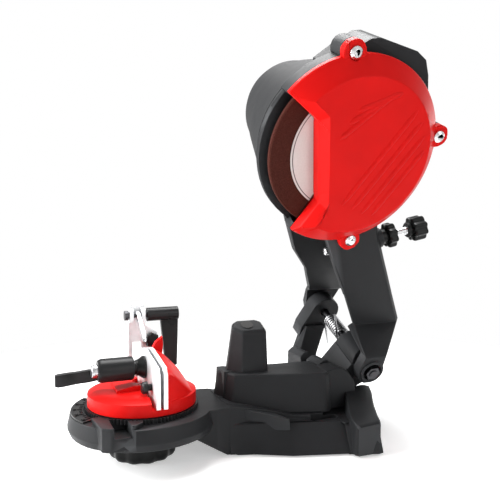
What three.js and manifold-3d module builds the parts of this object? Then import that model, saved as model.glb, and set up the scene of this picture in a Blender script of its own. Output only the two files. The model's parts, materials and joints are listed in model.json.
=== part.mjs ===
// Bench grinder for saw chains: a base with a swivelling chain vise at the front,
// and a sprung grinding head that swings down to the vise on a leaning hinge.
// Millimetres, +Z up. The origin is on the underside below the base's rear half, +X is the rear.

import * as THREE from 'three';
import { mergeVertices } from 'three/addons/utils/BufferGeometryUtils.js';
import Module from 'manifold-3d';

const wasm = await Module();
wasm.setup();

// Layout
const fitGap = 0.3;
const overrun = 2;
const trimReach = 150;
const mergeShare = 0.001;
const headLeanDegrees = 26;
const viseReach = 105;
const hingeReach = 61.9;
const hingeHeight = 60.8;
const discReach = 13.3;
const discSide = -68;
const discHeight = 206.4;
const hingeFromDiscA = 48.6;
const hingeFromDiscB = -160.6;

// Base casting
const underside = 1.2;
const castingWall = 4.5;
const cavityTop = 15;
const bodyBottom = [[-51, 29], [-39, 33], [-13, 47], [24, 58], [44, 65], [47, 61]];
const bodyShoulder = [[-51, 25.5], [-39, 27.5], [-9, 35], [24, 47], [42, 52], [45, 49]];
const shoulderHeight = 20;
const shoulderRound = 1;
const shoulderInsetShare = 0.97;
const centrePadRadius = 6;
const cavityTaperShare = 0.9;
const cavityTopReachShare = 0.93;
const cavityTopSideShare = 0.8;
const crossRibReach = 60;
const centreRibReach = 45;
const deckProfile = [[-137, 19], [-92, 19], [-76, 15.5], [-51, 0], [47, 0], [47, 23], [-4, 23.5], [-22, 28],
  [-50, 33], [-137, 33]];
const deckPlan = [[-137, 22], [-96, 31], [-60, 29.5], [-39, 26.5], [-12, 30], [20, 41], [42, 46]];
const deckDraft = 3;
const footColumnBottom = [[23, 44], [47, 48], [47.4, 65.6], [43, 66.4], [26, 60]];
const footColumnTop = [[28, 46], [43.5, 48], [44, 61], [41, 61.6], [30, 58]];
const footColumnHeight = 29;
const ribThickness = 7;
const ribFootThickness = 12.5;
const ribFoot = 24;
const ribTop = 84.2;
const ribProfile = [[-57.5, 22], [-53.6, 51.6], [-50.6, 53.6], [-41.2, 90], [-14.2, 90], [-14.2, 51],
  [31, 50],
  [36, 22]];
const flankProfile = [[-57.5, 22], [-54, 50], [-47, 52.5], [-44, 53], [-30, 49], [-12, 34], [4, 22]];
const flankFootThickness = 19;
const flankTopThickness = 10.5;
const flankDrop = 9;
const padHoleRadius = 3;
const padHoleDepth = 8;
const padPinLength = 6;
const padFlangeRadius = 4.6;
const padFlangeHeight = 1.4;
const nearEarStart = -25.2;
const nearEarEnd = 2.1;
const farEarStart = 45;
const farEarEnd = 58.3;
const earRadius = 13;
const nearEarFoot = [[-13.4, 2], [-20, -10], [-30, -24], [-35, -36], [-13, -36], [-9, -24], [2, -18],
  [8, -12]];
const farEarFoot = [[-13.2, 1], [-19, -14], [-20, -23], [-2, -23], [4, -17], [8.6, -11]];
const farLegBottom = [[28, 41], [50, 41], [50, 59], [28, 59]];
const farLegMiddle = [[37, 43], [54, 43], [54, 58], [37, 58]];
const farLegTop = [[46, 46], [64, 46], [64, 57], [46, 57]];
const farLegDrop = 14;
const farLegRise = 9.5;
const shoulderNear = [[24, 20], [26, 31], [44, 31], [47, 20]];
const shoulderMiddle = [[24, 20], [27, 33.4], [45, 33.4], [47, 20]];
const shoulderEar = [[22, 20], [29, 42], [46, 42], [47, 20]];
const shoulderSides = [52, 21, 8];
const earBoreRadius = 3.5;
const wallProfile = [[30, 20], [30, 50], [34, 53], [38, 53], [41, 42], [45, 20]];
const wallStart = -4;
const wallEnd = 50;
const notchProfile = [[14, 60], [17, 45], [21, 41], [25, 45], [29, 60]];
const buttressProfile = [[17, 20], [24, 36], [31, 47], [37, 50], [45, 43], [47, 20]];
const buttressStart = -18;
const buttressEnd = 6;
const slotReach = 9;
const slotSide = 36.5;
const slotLength = 15;
const slotRadius = 3.2;
const padOutline = [[-46, 20], [-28, 24], [-28, 34], [-36, 31], [-46, 28]];
const rearPadOutline = [[24, 46], [43, 48], [43, 61], [26, 56]];
const padThickness = 3.6;
const padPocketGap = 0.42;
const padProud = 0.6;
const towerCentre = -27.6;
const swingRoomGap = 1;
const swingRoomDepth = 30;

// Vise platform and swivel
const platformRadius = 50;
const platformUnderside = 19;
const platformEdge = 24;
const platformTop = 33;
const tickRingRadius = 37.5;
const tickRingTop = 36;
const tickNotch = 0.6;
const tickCount = 40;
const lugPlan = [[-37, -20], [-34, -43], [-29, -46], [-13, -44.5], [-8, -40], [-6, -20]];
const lugTop = 35.9;
const lugPocket = [[-28, -28], [-26.5, -50], [-15.5, -50], [-17, -28]];
const lugPocketFloor = 29;
const scaleInner = 39.3;
const scaleOuter = 47.6;
const scaleThickness = 0.8;
const scaleStartDegrees = 138;
const scaleEndDegrees = 207;
const boltHoleRadius = 4.3;
const swivelBoltRadius = 4;
const swivelHeadTop = 41.2;
const swivelShankEnd = 40.7;
const swivelBoltBottom = 4;
const swivelHeadRadius = 7.2;
const swivelHeadHeight = 3;
const washerRadius = 12;
const washerThickness = 1.6;
const knobRadius = 23;
const knobBottom = 0.5;
const knobShoulder = 11.5;
const knobNeckTop = 16.8;
const knobNeckRadius = 13;
const knobFacets = 12;
const knobScallop = 1.6;
const knobFootShare = 0.93;
const knobFootRise = 2.4;
const knobEdge = 1.6;
const knobTopShare = 0.9;
const knobNeckFlare = 2;
const knobSocketFloor = 3.7;

// Turntable, rails and clamp (from the swivel axis)
const turntableRadius = 36.7;
const turntableBottom = 36.3;
const turntableRim = 44.8;
const coneRadius = 31;
const coneTop = 47.3;
const jawFace = 8.5;
const jawSections = [[8.5, 35, 71.4, 65.6], [12, 34.2, 70, 64], [16, 32.2, 67, 60], [24, 26.5, 58.7, 52],
  [30, 19, 50, 46], [32, 16, 42, 41.5]];
const jawFoot = 40;
const jawFlankShare = 0.4;
const jawKneeShare = 0.88;
const jawKneeFarShare = 0.86;
const jawPeakShare = 0.06;
const jawPeakFarShare = 0.1;
const turntableEdge = 0.6;
const railSlotStart = -1.8;
const railSlotReach = 60;
const railSlotFloor = 41.1;
const hookProfile = [[8.8, 64], [8.8, 72.5], [11, 76], [15.4, 79.4], [15.8, 74], [15, 66]];
const hookStart = 4;
const hookEnd = 8;
const saddleProfile = [[-22, 40], [-19, 49], [-8, 51], [-1.8, 51], [-1.8, 40]];
const saddleHalfWidth = 12;
const railOutline = [[-38.6, 41.4], [-38.6, 63.5], [-34.6, 67.6], [-2, 72.6], [4, 72.6], [33.6, 66.2],
  [38, 60.4],
  [38, 41.4]];
const fixedRailStart = 5.5;
const fixedRailEnd = 8.2;
const movingRailStart = 0.8;
const movingRailEnd = 3.5;
const clampSide = -5;
const clampHeight = 61.5;
const clampBoltRadius = 3;
const clampBoltStart = -26.5;
const clampBoltEnd = 17;
const clampNutRadius = 6.2;
const clampNutLength = 4.8;
const padProfile = [[3.3, -5.4], [5.4, -5.4], [5.4, -4], [7.6, -0.8], [7.6, 0.5], [3.3, 0.5]];
const barrelProfile = [[3.3, -5.7], [5, -5.7], [5, -7.4], [7.4, -7.4], [8.1, -8.6], [8.1, -28.6], [7, -30.7],
  [3.3, -30.7]];
const capProfile = [[0, -34.8], [3.4, -34.8], [4.2, -34], [4.2, -31], [3, -31], [3, -28.6], [0, -28.6]];
const barrelEnd = -30.7;
const capPocketStart = -32;
const capPocketEnd = -28;
const capPocketRadius = 4.6;
const leverSide = 6.8;
const leverSections = [[-22, 2, 6, -3.4], [-30, 2, 7.2, -3.8], [-36, 2.2, 8, -4.2], [-42, 2.2, 7.6, -4.6],
  [-50, 2.4, 8, -5.2], [-55, 2.4, 8, -5.6], [-57, 1.8, 7.2, -5.6]];
const guideSide = 24;
const guideHeight = 52.5;
const guideRadius = 2.2;
const guideHeadRadius = 4;
const guideHeadStart = -5.6;
const guideHeadEnd = -2;
const guideEnd = 16;
const guideHeadRound = 0.8;
const guideHeadTaper = 1;
const endGap = 1;

// Chain stop (from the swivel axis)
const bracketStart = 39.2;
const bracketThickness = 2.8;
const bracketOutline = [[-2, 43], [1.2, 43], [1.2, 70], [7.8, 70], [7.8, 43], [20, 43], [20, 76], [11, 82],
  [10, 97],
  [8, 99], [0.5, 99], [-1.4, 97]];
const bracketLug = [[-2, 30], [20, 24], [20, 38.9], [-2, 38.9]];
const bracketLugTop = 50;
const bracketScrewReach = 14;
const bracketScrewHeight = 46;
const bracketTapRadius = 1.9;
const bracketTapDepth = 9;
const bracketHoleRadius = 2.2;
const bracketScrewRadius = 1.6;
const bracketScrewLength = 7;
const bracketScrewHeadRadius = 3.4;
const bracketScrewHeadHeight = 2.4;
const tabInset = 3;
const tabHalfHeight = 5;
const tabRoot = 1;
const tabBevel = 2;
const nearTab = [-1.6, 1.2];
const farTab = [7.2, 10];
const pivotHeight = 90.5;
const pivotSide = 36;
const pivotRadius = 2;
const pivotStart = -3;
const pivotHeadRoot = 0.6;
const pivotInset = 2;
const hubEndWall = 1.6;
const pivotHeadRadius = 3.6;
const pivotHeadLength = 2;
const stopHubRadius = 5;
const stopHubStart = 11.6;
const stopHubEnd = 35;
const stopBlade = [[21.6, 88], [35, 88], [34, 51], [25, 51], [23.4, 70]];
const stopBladeThickness = 3.4;
const pawlStart = 3.4;
const pawlEnd = 5.6;
const pawlOutline = [[36, 93.3], [32.6, 92.4], [14, 80.5], [11, 76.6], [12.6, 75], [22, 79.5], [36, 86.5]];
const stopScrewReach = 15.4;
const stopScrewHeight = 71;
const stopScrewRadius = 2;
const stopScrewEnd = 50;
const stopKnobRadius = 5.6;
const stopKnobStart = 32.6;
const stopKnobEnd = 38.9;
const stopKnobDip = 0.9;
const stopKnobFloor = 1;
const stopScrewInset = 1.4;

// Wheel and cover, from the disc's centre. Distances run away from the operator.
const discRadius = 54;
const discBore = 11.5;
const discThickness = 3.2;
const labelRadius = 40;
const labelThickness = 0.4;
const discEdge = 0.6;
const labelBoreGap = 0.8;
const flangeRadius = 17;
const innerFlangeWidth = 3.2;
const flangeRegister = 0.8;
const flangeEdge = 1;
const flangeHub = 8;
const flangeHubStep = 1;
const outerFlangeWidth = 3;
const arborNutWidth = 4.5;
const arborNutRadius = 8;
const arborRadius = 4;
const spindleRadius = 5.5;
const bearingRadius = 11;
const bearingWidth = 7;
const bearingLand = 8;
const bearingGroove = 0.8;
const bearingShield = 9.4;
const frontBearing = 12;
const rearBearing = 84;
const spindleFront = -12;
const spindleRear = 93;
const spindleTipTaper = 0.6;
const spindleTipLength = 1;
const spindleEndRound = 0.8;
const longReach = 120;
const coverBack = -4.5;
const coverFront = -18.4;
const coverRadius = 61.9;
const coverFaceRadius = 50.8;
const coverRimDepth = 3.6;
const coverWall = 2.4;
const coverChord = 24.7;
const openingDegrees = 193.5;
const openingHalfDegrees = 47.5;
const chordBevel = 5.5;
const openingEndShare = 0.9;
const openingFlareShare = 1.4;
const openingReachShare = 1.6;
const coverFaceWallShare = 0.6;
const coverScrewRoom = 0.8;
const coverScrewCrownShare = 0.6;
const coverScrewSideShare = 0.45;
const earAngles = [104, 14, -76];
const coverEarReach = 63;
const coverEarRadius = 7.6;
const coverEarThickness = 5;
const coverScrewRadius = 2;
const coverScrewHead = 4;
const coverScrewHeadHeight = 2.6;
const coverScrewLength = 11;
const crossSize = 4.2;
const crossWidth = 0.9;
const crossDepth = 1.3;

// Head casting, arm and motor shell
const guardInner = 57;
const guardOuter = 61.5;
const guardFront = -4.2;
const openingReach = 80;
const openingRoom = 2;
const neckRoom = 1.8;
const neckCutDepth = 4;
const plateFront = 4;
const plateBack = 8.5;
const plateStep = 1;
const guardStep = 2;
const spindleRoom = 1.2;
const neckRadius = 56.4;
const seam = 17.7;
const seamRadius = 54;
const neckWall = 4;
const wheelRoomGap = 1.6;
const motorRoomInset = 2;
const motorRoomRelief = 0.5;
const motorRoomNeck = 1.5;
const motorRoomNeckEnd = 26;
const motorRoomTaper = 10;
const motorRoomEnd = 60;
const bearingBossRadius = 15;
const shellProfile = [[54, 18], [52, 26], [42, 66], [38.6, 78], [36, 90], [33.4, 96], [27, 99]];
const shellWall = 2.8;
const shellEnd = 99;
const shellEndInner = 96.2;
const shellEndBore = 26;
const rearBossWall = 3;
const rearBossEnd = 97;
const rearBossBore = 7.4;
const rearBossLead = 1;
const ventStart = 90;
const ventCount = 8;
const ventInner = 18;
const ventOuter = 30;
const ventWidth = 3;
const bumpOutline = [[-24, 50], [-14, 59], [-10, 63], [-1, 69], [5, 70], [50, 62], [57, 58], [66, 47],
  [64, 42],
  [50, 20], [-10, 20]];
const bumpFront = -1;
const bumpBack = 25;
const switchOutline = [[13.6, 52], [37.2, 48], [39, 58.6], [15.4, 62.6]];
const switchDepth = 17;
const switchCentre = [26.2, 55.4];
const switchTurnDegrees = -9.5;
const switchHalf = [11.2, 4.6];
const switchFloor = 9;
const switchFace = 24.5;
const rockerWell = [9.4, 3.4];
const rockerWellFloor = 17;
const rockerWidth = 6;
const rockerProfile = [[-8.8, 19], [8.8, 19], [8.8, 27.6], [5, 26.6], [0, 25.8], [-5, 25.2], [-8.8, 24.8]];
const armOuter = [
  [-46, -12, 38, -4.2, -22, 38, 30], [-62, 0, 44, -4.2, -18, 44, 31], [-92, 17, 61, -4.2, -2, 60, 37],
  [-112, 29.5, 72, -4.2, 15, 72, 42], [-138, 44, 86.6, -4.2, 30, 85, 54], [-147, 40, 61.5, -33.5, 35, 66, 63],
  [-160.6, 37, 61, -34, 37, 61, 66], [-167.5, 39.5, 57.6, -34, 39.6, 57.6, 66],
  [-171, 44.4, 52.8, -34, 44.5, 52.7, 66]];
const armInner = [
  [-64, -70, 40, -1.2, -70, 40, 27.5], [-92, -70, 56.6, -1.2, -70, 56.6, 33.5],
  [-112, -70, 67.6, -1.2, -70, 67.6, 38.5], [-141, -70, 82, -1.2, -70, 82, 51.5],
  [-146.4, -70, 83, -26.2, -70, 83, 59.2], [-160.6, -70, 82.4, -26.2, -70, 82.4, 59.2],
  [-168, -70, 76.4, -26.2, -70, 76.4, 59.2], [-180, -70, 64, -26.2, -70, 64, 59.2]];
const armRibs = [[-96, 40, 62], [-118, 54, 74]];
const armRibWidth = 2.6;
const armRibRise = 8;
const armRibStart = -1.5;
const armRibEnd = 39;
const armCorner = 4;
const armSpine = [[40, -64], [58, -92], [70, -112], [84, -140], [76, -140], [60, -112], [47, -92], [31, -64]];
const armSpineStart = 14;
const armSpineEnd = 17;
const forkBoreRadius = 3.5;
const nutRecessRadius = 7;
const nutRecessDepth = 3;
const hingeBoltRadius = 3;
const hingeNutRadius = 5.8;
const hingeNutWidth = 5;
const hingeHeadRadius = 5.6;
const hingeHeadWidth = 4;
const hingeBoltLead = 3;
const hingeHeadRoot = 1;
const forkNear = -34;
const forkFar = 66;

// Torsion spring
const wireRadius = 0.85;
const coilRadius = 5.2;
const coilTurns = 9;
const coilPitch = 2.45;
const coilStart = 12;
const curlSteps = 8;
const wireSides = 5;
const legLength = 24;
const springStartDegrees = 200;

// Motor
const statorRadius = 28.2;
const statorBore = 17.6;
const statorStart = 38;
const statorEnd = 66;
const statorFlat = 25;
const windingRadius = 25;
const windingStart = 32.5;
const windingBoreGap = 1;
const windingTaper = 1;
const windingDepth = 5;
const windingInnerDepth = 5.4;
const flatsReach = 60;
const flatsDepth = 12;
const armatureRadius = 16.8;
const armatureSlots = 12;
const armatureSlotShare = 0.82;
const armatureSlotShares = [0.02, 0.36, 0.5, 0.86];
const commutatorRadius = 10.4;
const commutatorStart = 72;
const commutatorEnd = 81.4;
const commutatorDip = 0.5;
const commutatorBars = 16;
const bladeRoot = 1;
const fanStart = 22;
const fanHub = 9;
const fanRadius = 27;
const fanWidth = 7;
const fanPlate = 1.6;
const fanBlades = 8;
const fanBladeWidth = 1.8;
const brushWidth = 5;
const brushHeight = 6.4;
const brushReach = 21;
const brushMiddle = 76.4;
const brushSlotStart = 5;
const brushSlotEnd = 24;
const carrierOuter = 34;
const carrierInner = 13.4;
const carrierStart = 80.4;
const carrierThickness = 2.4;
const holderOuter = 25;
const holderWall = 1.6;
const longScrewReach = 30.7;
const longScrewRadius = 1.9;
const longScrewStart = 10;
const longScrewEnd = 84;
const longScrewHeadRadius = 3;
const longScrewHeadStart = 83.4;
const longScrewHeadEnd = 86;
const longScrewPost = 2.2;
const longScrewRoom = 1;

// Depth screw
const depthSide = 7.5;
const depthTip = [8.6, -79.6];
const depthRise = 14.1;
const depthRadius = 3;
const depthLength = 72;
const lockStart = 45.4;
const lockWidth = 7;
const starRadius = 9.4;
const starLobes = 6;
const starDip = 1.8;
const starHub = 5.4;
const starHubLength = 4;
const starFaceShare = 0.9;
const starEdge = 1.2;
const starHubRoot = 1;
const endKnobHubLength = 3;
const endKnobStart = 67.5;
const endKnobWidth = 11;
const bossRadius = 7.4;
const bossStart = 33;
const bossEnd = 45;

const radians = THREE.MathUtils.degToRad;
const lean = radians(headLeanDegrees);

// Helpers
// Turns a closed geometry into a solid that can be cut and joined.
function solid(geometry) {
  const bare = geometry.index ? geometry.toNonIndexed() : geometry.clone();
  bare.deleteAttribute('normal');
  bare.deleteAttribute('uv');
  const merged = mergeVertices(bare, fitGap * mergeShare);
  const points = merged.attributes.position.array;
  const kept = [];
  let volume = 0;
  for (let i = 0; i < merged.index.count; i += 3) {
    const [a, b, c] = [merged.index.getX(i), merged.index.getX(i + 1), merged.index.getX(i + 2)];
    if (a !== b && b !== c && c !== a) {
      kept.push(a, b, c);
      const corner = (n) => new THREE.Vector3(points[3 * n], points[3 * n + 1], points[3 * n + 2]);
      volume += corner(a).dot(corner(b).cross(corner(c)));
    }
  }
  if (volume < 0) kept.reverse();
  const mesh = new wasm.Mesh({
    numProp: 3,
    vertProperties: new Float32Array(points),
    triVerts: new Uint32Array(kept),
  });
  mesh.merge();
  return new wasm.Manifold(mesh);
}

const join = (first, ...rest) => rest.reduce((sum, next) => sum.add(next), first);
const cut = (first, ...rest) => rest.reduce((sum, next) => sum.subtract(next), first);
const common = (first, second) => first.intersect(second);

// Local frames. Each one takes a flat outline and its extrusion to the machine's axes.
const upright = new THREE.Matrix4();
const sideways = new THREE.Matrix4().makeBasis(
  new THREE.Vector3(1, 0, 0), new THREE.Vector3(0, 0, 1), new THREE.Vector3(0, -1, 0));
const lengthways = new THREE.Matrix4().makeBasis(
  new THREE.Vector3(0, 1, 0), new THREE.Vector3(0, 0, 1), new THREE.Vector3(1, 0, 0));
const leaning = new THREE.Matrix4().makeBasis(
  new THREE.Vector3(1, 0, 0),
  new THREE.Vector3(0, -Math.sin(lean), Math.cos(lean)),
  new THREE.Vector3(0, -Math.cos(lean), -Math.sin(lean))).setPosition(discReach, discSide, discHeight);

// Pieces of the head are cut and joined in its own axes and leaned over at the end.
const headFrame = new THREE.Matrix4();
const viseFrame = new THREE.Matrix4().makeTranslation(-viseReach, 0, 0);

// Extrudes an outline between two levels of the frame's third axis.
function slab(points, from, to, frame = upright, holes = []) {
  const shape = new THREE.Shape(points.map(([u, v]) => new THREE.Vector2(u, v)));
  for (const hole of holes) shape.holes.push(new THREE.Path(hole.map(([u, v]) => new THREE.Vector2(u, v))));
  const geometry = new THREE.ExtrudeGeometry(shape, { depth: to - from, bevelEnabled: false, steps: 1 });
  geometry.translate(0, 0, from);
  geometry.applyMatrix4(frame);
  return solid(geometry);
}

// Extrudes between two distances away from the operator, in the head's or the sideways frame.
const awaySlab = (points, from, to, frame = headFrame, holes = []) => slab(points, -to, -from, frame, holes);

// Turns a closed outline of radius and height round an axis through a point of the frame.
function turned(profile, frame = upright, u = 0, v = 0, segments = 24) {
  const points = [...profile, profile[0]].map(([r, h]) => new THREE.Vector2(r, h));
  const geometry = new THREE.LatheGeometry(points, segments);
  geometry.rotateX(Math.PI / 2);
  geometry.translate(u, v, 0);
  geometry.applyMatrix4(frame);
  return solid(geometry);
}

// The same for the head, with heights given as distance away from the operator.
const headTurned = (profile, u = 0, v = 0, segments = 24, frame = headFrame) =>
  turned(profile.map(([r, w]) => [r, -w]), frame, u, v, segments);

const rod = (radius, from, to, frame, u, v, segments = 12) =>
  turned([[0, from], [radius, from], [radius, to], [0, to]], frame, u, v, segments);
const headRod = (radius, from, to, u, v, segments = 12) => rod(radius, -to, -from, headFrame, u, v, segments);
const awayRod = (radius, from, to, u, v, segments = 12) => rod(radius, -to, -from, sideways, u, v, segments);

// Skins equal rings of points in space and closes both ends.
function skin(rings) {
  const count = rings[0].length;
  const positions = rings.flat(2);
  const index = [];
  for (let r = 0; r + 1 < rings.length; r += 1) {
    for (let i = 0; i < count; i += 1) {
      const next = (i + 1) % count;
      const a = r * count + i;
      const b = r * count + next;
      index.push(a, b, a + count, b, b + count, a + count);
    }
  }
  const flat = (ring) => {
    const spread = [0, 1, 2].map((axis) => {
      const values = ring.map((point) => point[axis]);
      return Math.max(...values) - Math.min(...values);
    });
    const drop = spread.indexOf(Math.min(...spread));
    const keep = [0, 1, 2].filter((axis) => axis !== drop);
    return ring.map((point) => new THREE.Vector2(point[keep[0]], point[keep[1]]));
  };
  const first = flat(rings[0]);
  const faces = THREE.ShapeUtils.triangulateShape(first, []);
  const turn = THREE.ShapeUtils.isClockWise(first);
  const base = (rings.length - 1) * count;
  const geometry = new THREE.BufferGeometry();
  const build = (flip) => {
    const ends = [];
    for (const [a, b, c] of faces) {
      ends.push(...(flip ? [a, b, c] : [c, b, a]));
      ends.push(...(flip ? [base + c, base + b, base + a] : [base + a, base + b, base + c]));
    }
    return ends;
  };
  const edges = new Set();
  for (let i = 0; i < index.length; i += 3) {
    for (let k = 0; k < 3; k += 1) edges.add(index[i + k] + '_' + index[i + ((k + 1) % 3)]);
  }
  const straight = build(turn);
  let clash = false;
  for (let i = 0; i < straight.length; i += 3) {
    for (let k = 0; k < 3; k += 1) {
      if (edges.has(straight[i + k] + '_' + straight[i + ((k + 1) % 3)])) clash = true;
    }
  }
  geometry.setAttribute('position', new THREE.Float32BufferAttribute(positions, 3));
  geometry.setIndex([...index, ...(clash ? build(!turn) : straight)]);
  return geometry;
}

// Skins flat outlines, each at its own height, in a frame.
function loft(sections, frame = upright) {
  const rings = sections.map(([points, height]) => points.map(([u, v]) => [u, v, height]));
  const geometry = skin(rings);
  geometry.applyMatrix4(frame);
  return solid(geometry);
}

const bothSides = (points) => [...points, ...points.map(([x, y]) => [x, -y]).reverse()];
const mirrorSide = (points) => points.map(([x, y]) => [x, -y]);
const shifted = (points, du, dv) => points.map(([u, v]) => [u + du, v + dv]);
const scaled = (points, share) => points.map(([u, v]) => [u * share, v * share]);

// Points round a circle, from one angle to another.
function arc(u, v, radius, fromDegrees, toDegrees, steps) {
  return Array.from({ length: steps + 1 }, (_, i) => {
    const angle = radians(fromDegrees + ((toDegrees - fromDegrees) * i) / steps);
    return [u + radius * Math.cos(angle), v + radius * Math.sin(angle)];
  });
}

// A round outline whose edge dips between lobes.
function lobed(radius, dip, lobes, steps, u = 0, v = 0) {
  return Array.from({ length: lobes * steps }, (_, i) => {
    const angle = (2 * Math.PI * i) / (lobes * steps);
    const reach = radius - (dip / 2) * (1 - Math.cos(lobes * angle));
    return [u + reach * Math.cos(angle), v + reach * Math.sin(angle)];
  });
}

const hexagon = (radius, u = 0, v = 0) => arc(u, v, radius, 0, 300, 5);
const box = (halfU, halfV) => [[-halfU, -halfV], [halfU, -halfV], [halfU, halfV], [-halfU, halfV]];

const group = new THREE.Group();
group.name = 'chain_grinder';
const finish = (color, roughness, metalness) => new THREE.MeshStandardMaterial({ color, roughness,
  metalness });
const charcoal = () => finish(0x3b3e41, 0.6, 0);
const redPlastic = () => finish(0xd41a17, 0.38, 0);
const black = () => finish(0x17181a, 0.5, 0);
const zinc = () => finish(0xc9cbcc, 0.3, 0.9);
const steel = () => finish(0x8d9093, 0.35, 0.9);
const copper = () => finish(0xb06a3a, 0.4, 0.8);
const abrasive = () => finish(0x4a1f17, 0.9, 0);
const paper = () => finish(0xe9dedc, 0.8, 0);
const rubber = () => finish(0x2a2220, 0.9, 0);

// Drops slivers without thickness that a cut leaves behind.
function whole(body) {
  const bodies = body.decompose();
  return bodies.reduce((best, next) => (next.volume() > best.volume() ? next : best), bodies[0]);
}

let triangleTotal = 0;
let placement = upright;
function add(name, body, material) {
  const mesh = whole(body).getMesh();
  const geometry = new THREE.BufferGeometry();
  geometry.setAttribute('position', new THREE.BufferAttribute(new Float32Array(mesh.vertProperties), 3));
  geometry.setIndex(new THREE.BufferAttribute(new Uint32Array(mesh.triVerts), 1));
  geometry.applyMatrix4(placement);
  geometry.computeVertexNormals();
  const node = new THREE.Mesh(geometry, material);
  node.name = name;
  triangleTotal += mesh.triVerts.length / 3;
  group.add(node);
}

// Base casting
const hingeU = hingeFromDiscA;
const hingeV = hingeFromDiscB;
const earAt = (foot) => [...arc(hingeU, hingeV, earRadius, -40, 170, 14), ...shifted(foot, hingeU, hingeV)];
const bodyBlock = join(
  loft([[bothSides(bodyBottom), underside], [bothSides(bodyShoulder), shoulderHeight],
    [bothSides(scaled(bodyShoulder, shoulderInsetShare)), shoulderHeight + shoulderRound]]),
  common(
    loft([[bothSides(deckPlan), -overrun], [bothSides(shifted(deckPlan, 0, -deckDraft)),
    platformTop + overrun]]),
    awaySlab(deckProfile, -platformRadius, platformRadius, sideways)),
  loft([[footColumnBottom, underside], [footColumnTop, footColumnHeight]]),
  loft([[mirrorSide(footColumnBottom).reverse(), underside], [mirrorSide(footColumnTop).reverse(),
  footColumnHeight]]),
);
const ribWedge = slab([[-ribFootThickness, ribFoot - overrun], [ribFootThickness, ribFoot - overrun],
  [ribThickness, ribTop + ribThickness * Math.tan(lean)],
  [-ribThickness, ribTop - ribThickness * Math.tan(lean)]], -platformRadius, platformRadius, lengthways);
const flankWedge = slab([[-flankFootThickness, ribFoot - overrun], [flankFootThickness, ribFoot - overrun],
  [flankTopThickness, ribTop - flankDrop], [-flankTopThickness, ribTop - flankDrop]],
  -platformRadius, platformRadius, lengthways);
const rib = join(
  common(awaySlab(ribProfile, -platformRadius, platformRadius, sideways), ribWedge),
  common(awaySlab(flankProfile, -platformRadius, platformRadius, sideways), flankWedge));
const nearEar = awaySlab(earAt(nearEarFoot), nearEarStart, nearEarEnd, leaning);
const farEar = awaySlab(earAt(farEarFoot), farEarStart, farEarEnd, leaning);
const hingeRod = (radius, from, to, segments) => rod(radius, -to, -from, leaning, hingeU, hingeV, segments);
const earWall = cut(
  awaySlab(wallProfile, wallStart, wallEnd, sideways),
  slab(notchProfile, 0, hingeReach, lengthways));
const buttress = awaySlab(buttressProfile, buttressStart, buttressEnd, sideways);
const farLeg = loft([[farLegBottom, shoulderHeight - overrun], [farLegMiddle, hingeHeight - farLegDrop],
  [farLegTop, hingeHeight + farLegRise]]);
const shoulder = loft([[shoulderNear, shoulderSides[0]], [shoulderMiddle, shoulderSides[1]],
  [shoulderEar, shoulderSides[2]]], sideways);
const platform = join(
  turned([[0, platformUnderside], [platformRadius - overrun, platformUnderside],
  [platformRadius, platformEdge],
    [platformRadius - overrun, platformTop], [0, platformTop]], upright, -viseReach, 0, 44),
  slab(shifted(lobed(tickRingRadius, tickNotch, tickCount, 2), -viseReach, 0), platformTop - overrun,
  tickRingTop),
  slab(shifted(lugPlan, -viseReach, 0), platformUnderside + overrun, lugTop));
const lugCut = slab(shifted(lugPocket, -viseReach, 0), lugPocketFloor, platformRadius);
const innerBottom = bodyBottom.map(([x, y]) => [x * cavityTaperShare, y - castingWall]);
const underCavity = loft([[bothSides(innerBottom), -overrun],
  [bothSides(innerBottom.map(([x, y]) => [x * cavityTopReachShare, y * cavityTopSideShare])), cavityTop]]);
const cavityRibs = join(
  slab([[-overrun - castingWall, -crossRibReach], [-overrun, -crossRibReach], [-overrun, crossRibReach],
    [-overrun - castingWall, crossRibReach]], underside, cavityTop + overrun),
  slab([[-centreRibReach, -castingWall / 2], [centreRibReach, -castingWall / 2],
  [centreRibReach, castingWall / 2],
    [-centreRibReach, castingWall / 2]], underside, cavityTop + overrun));
const slotShape = (side) => [...arc(slotReach + slotLength, side, slotRadius, -90, 90, 5),
  ...arc(slotReach, side, slotRadius, 90, 270, 5)];
const slots = [-slotSide, slotSide].map((side) => slab(slotShape(side), -overrun, ribTop));
const slotBosses = [-slotSide, slotSide].map((side) => slab(
  [...arc(slotReach + slotLength, side, slotRadius + castingWall / 2, -90, 90, 5),
    ...arc(slotReach, side, slotRadius + castingWall / 2, 90, 270, 5)], underside, cavityTop + overrun));
const padShapes = [
  ['foot_pad_front_near', mirrorSide(padOutline)], ['foot_pad_front_far', padOutline],
  ['foot_pad_rear_near', mirrorSide(rearPadOutline)], ['foot_pad_rear_far', rearPadOutline]];
const grow = (points, by) => {
  const cu = points.reduce((sum, [u]) => sum + u, 0) / points.length;
  const cv = points.reduce((sum, [, v]) => sum + v, 0) / points.length;
  return points.map(([u, v]) => {
    const far = Math.hypot(u - cu, v - cv);
    return [u + ((u - cu) * by) / far, v + ((v - cv) * by) / far];
  });
};
const padSeats = padShapes.map(([, outline]) =>
  slab(grow(outline, castingWall / 2), underside, padThickness + castingWall));
const padPockets = padShapes.map(([, outline]) =>
  slab(grow(outline, padPocketGap), -overrun, padThickness + fitGap));
const towerFrame = new THREE.Matrix4().makeRotationX(lean)
  .setPosition(towerCentre, 0, ribTop);
const towerHole = join(
  rod(padHoleRadius, -padHoleDepth, overrun, towerFrame, 0, 0),
  rod(padFlangeRadius + fitGap, -padFlangeHeight + fitGap, overrun, towerFrame, 0, 0, 14));
const earBore = hingeRod(earBoreRadius, nearEarStart - overrun, farEarEnd + overrun, 16);
const underFlat = slab(box(trimReach, trimReach), -trimReach, underside);
let casting = join(bodyBlock, rib, nearEar, farEar, farLeg, earWall, buttress, shoulder, platform);
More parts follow.
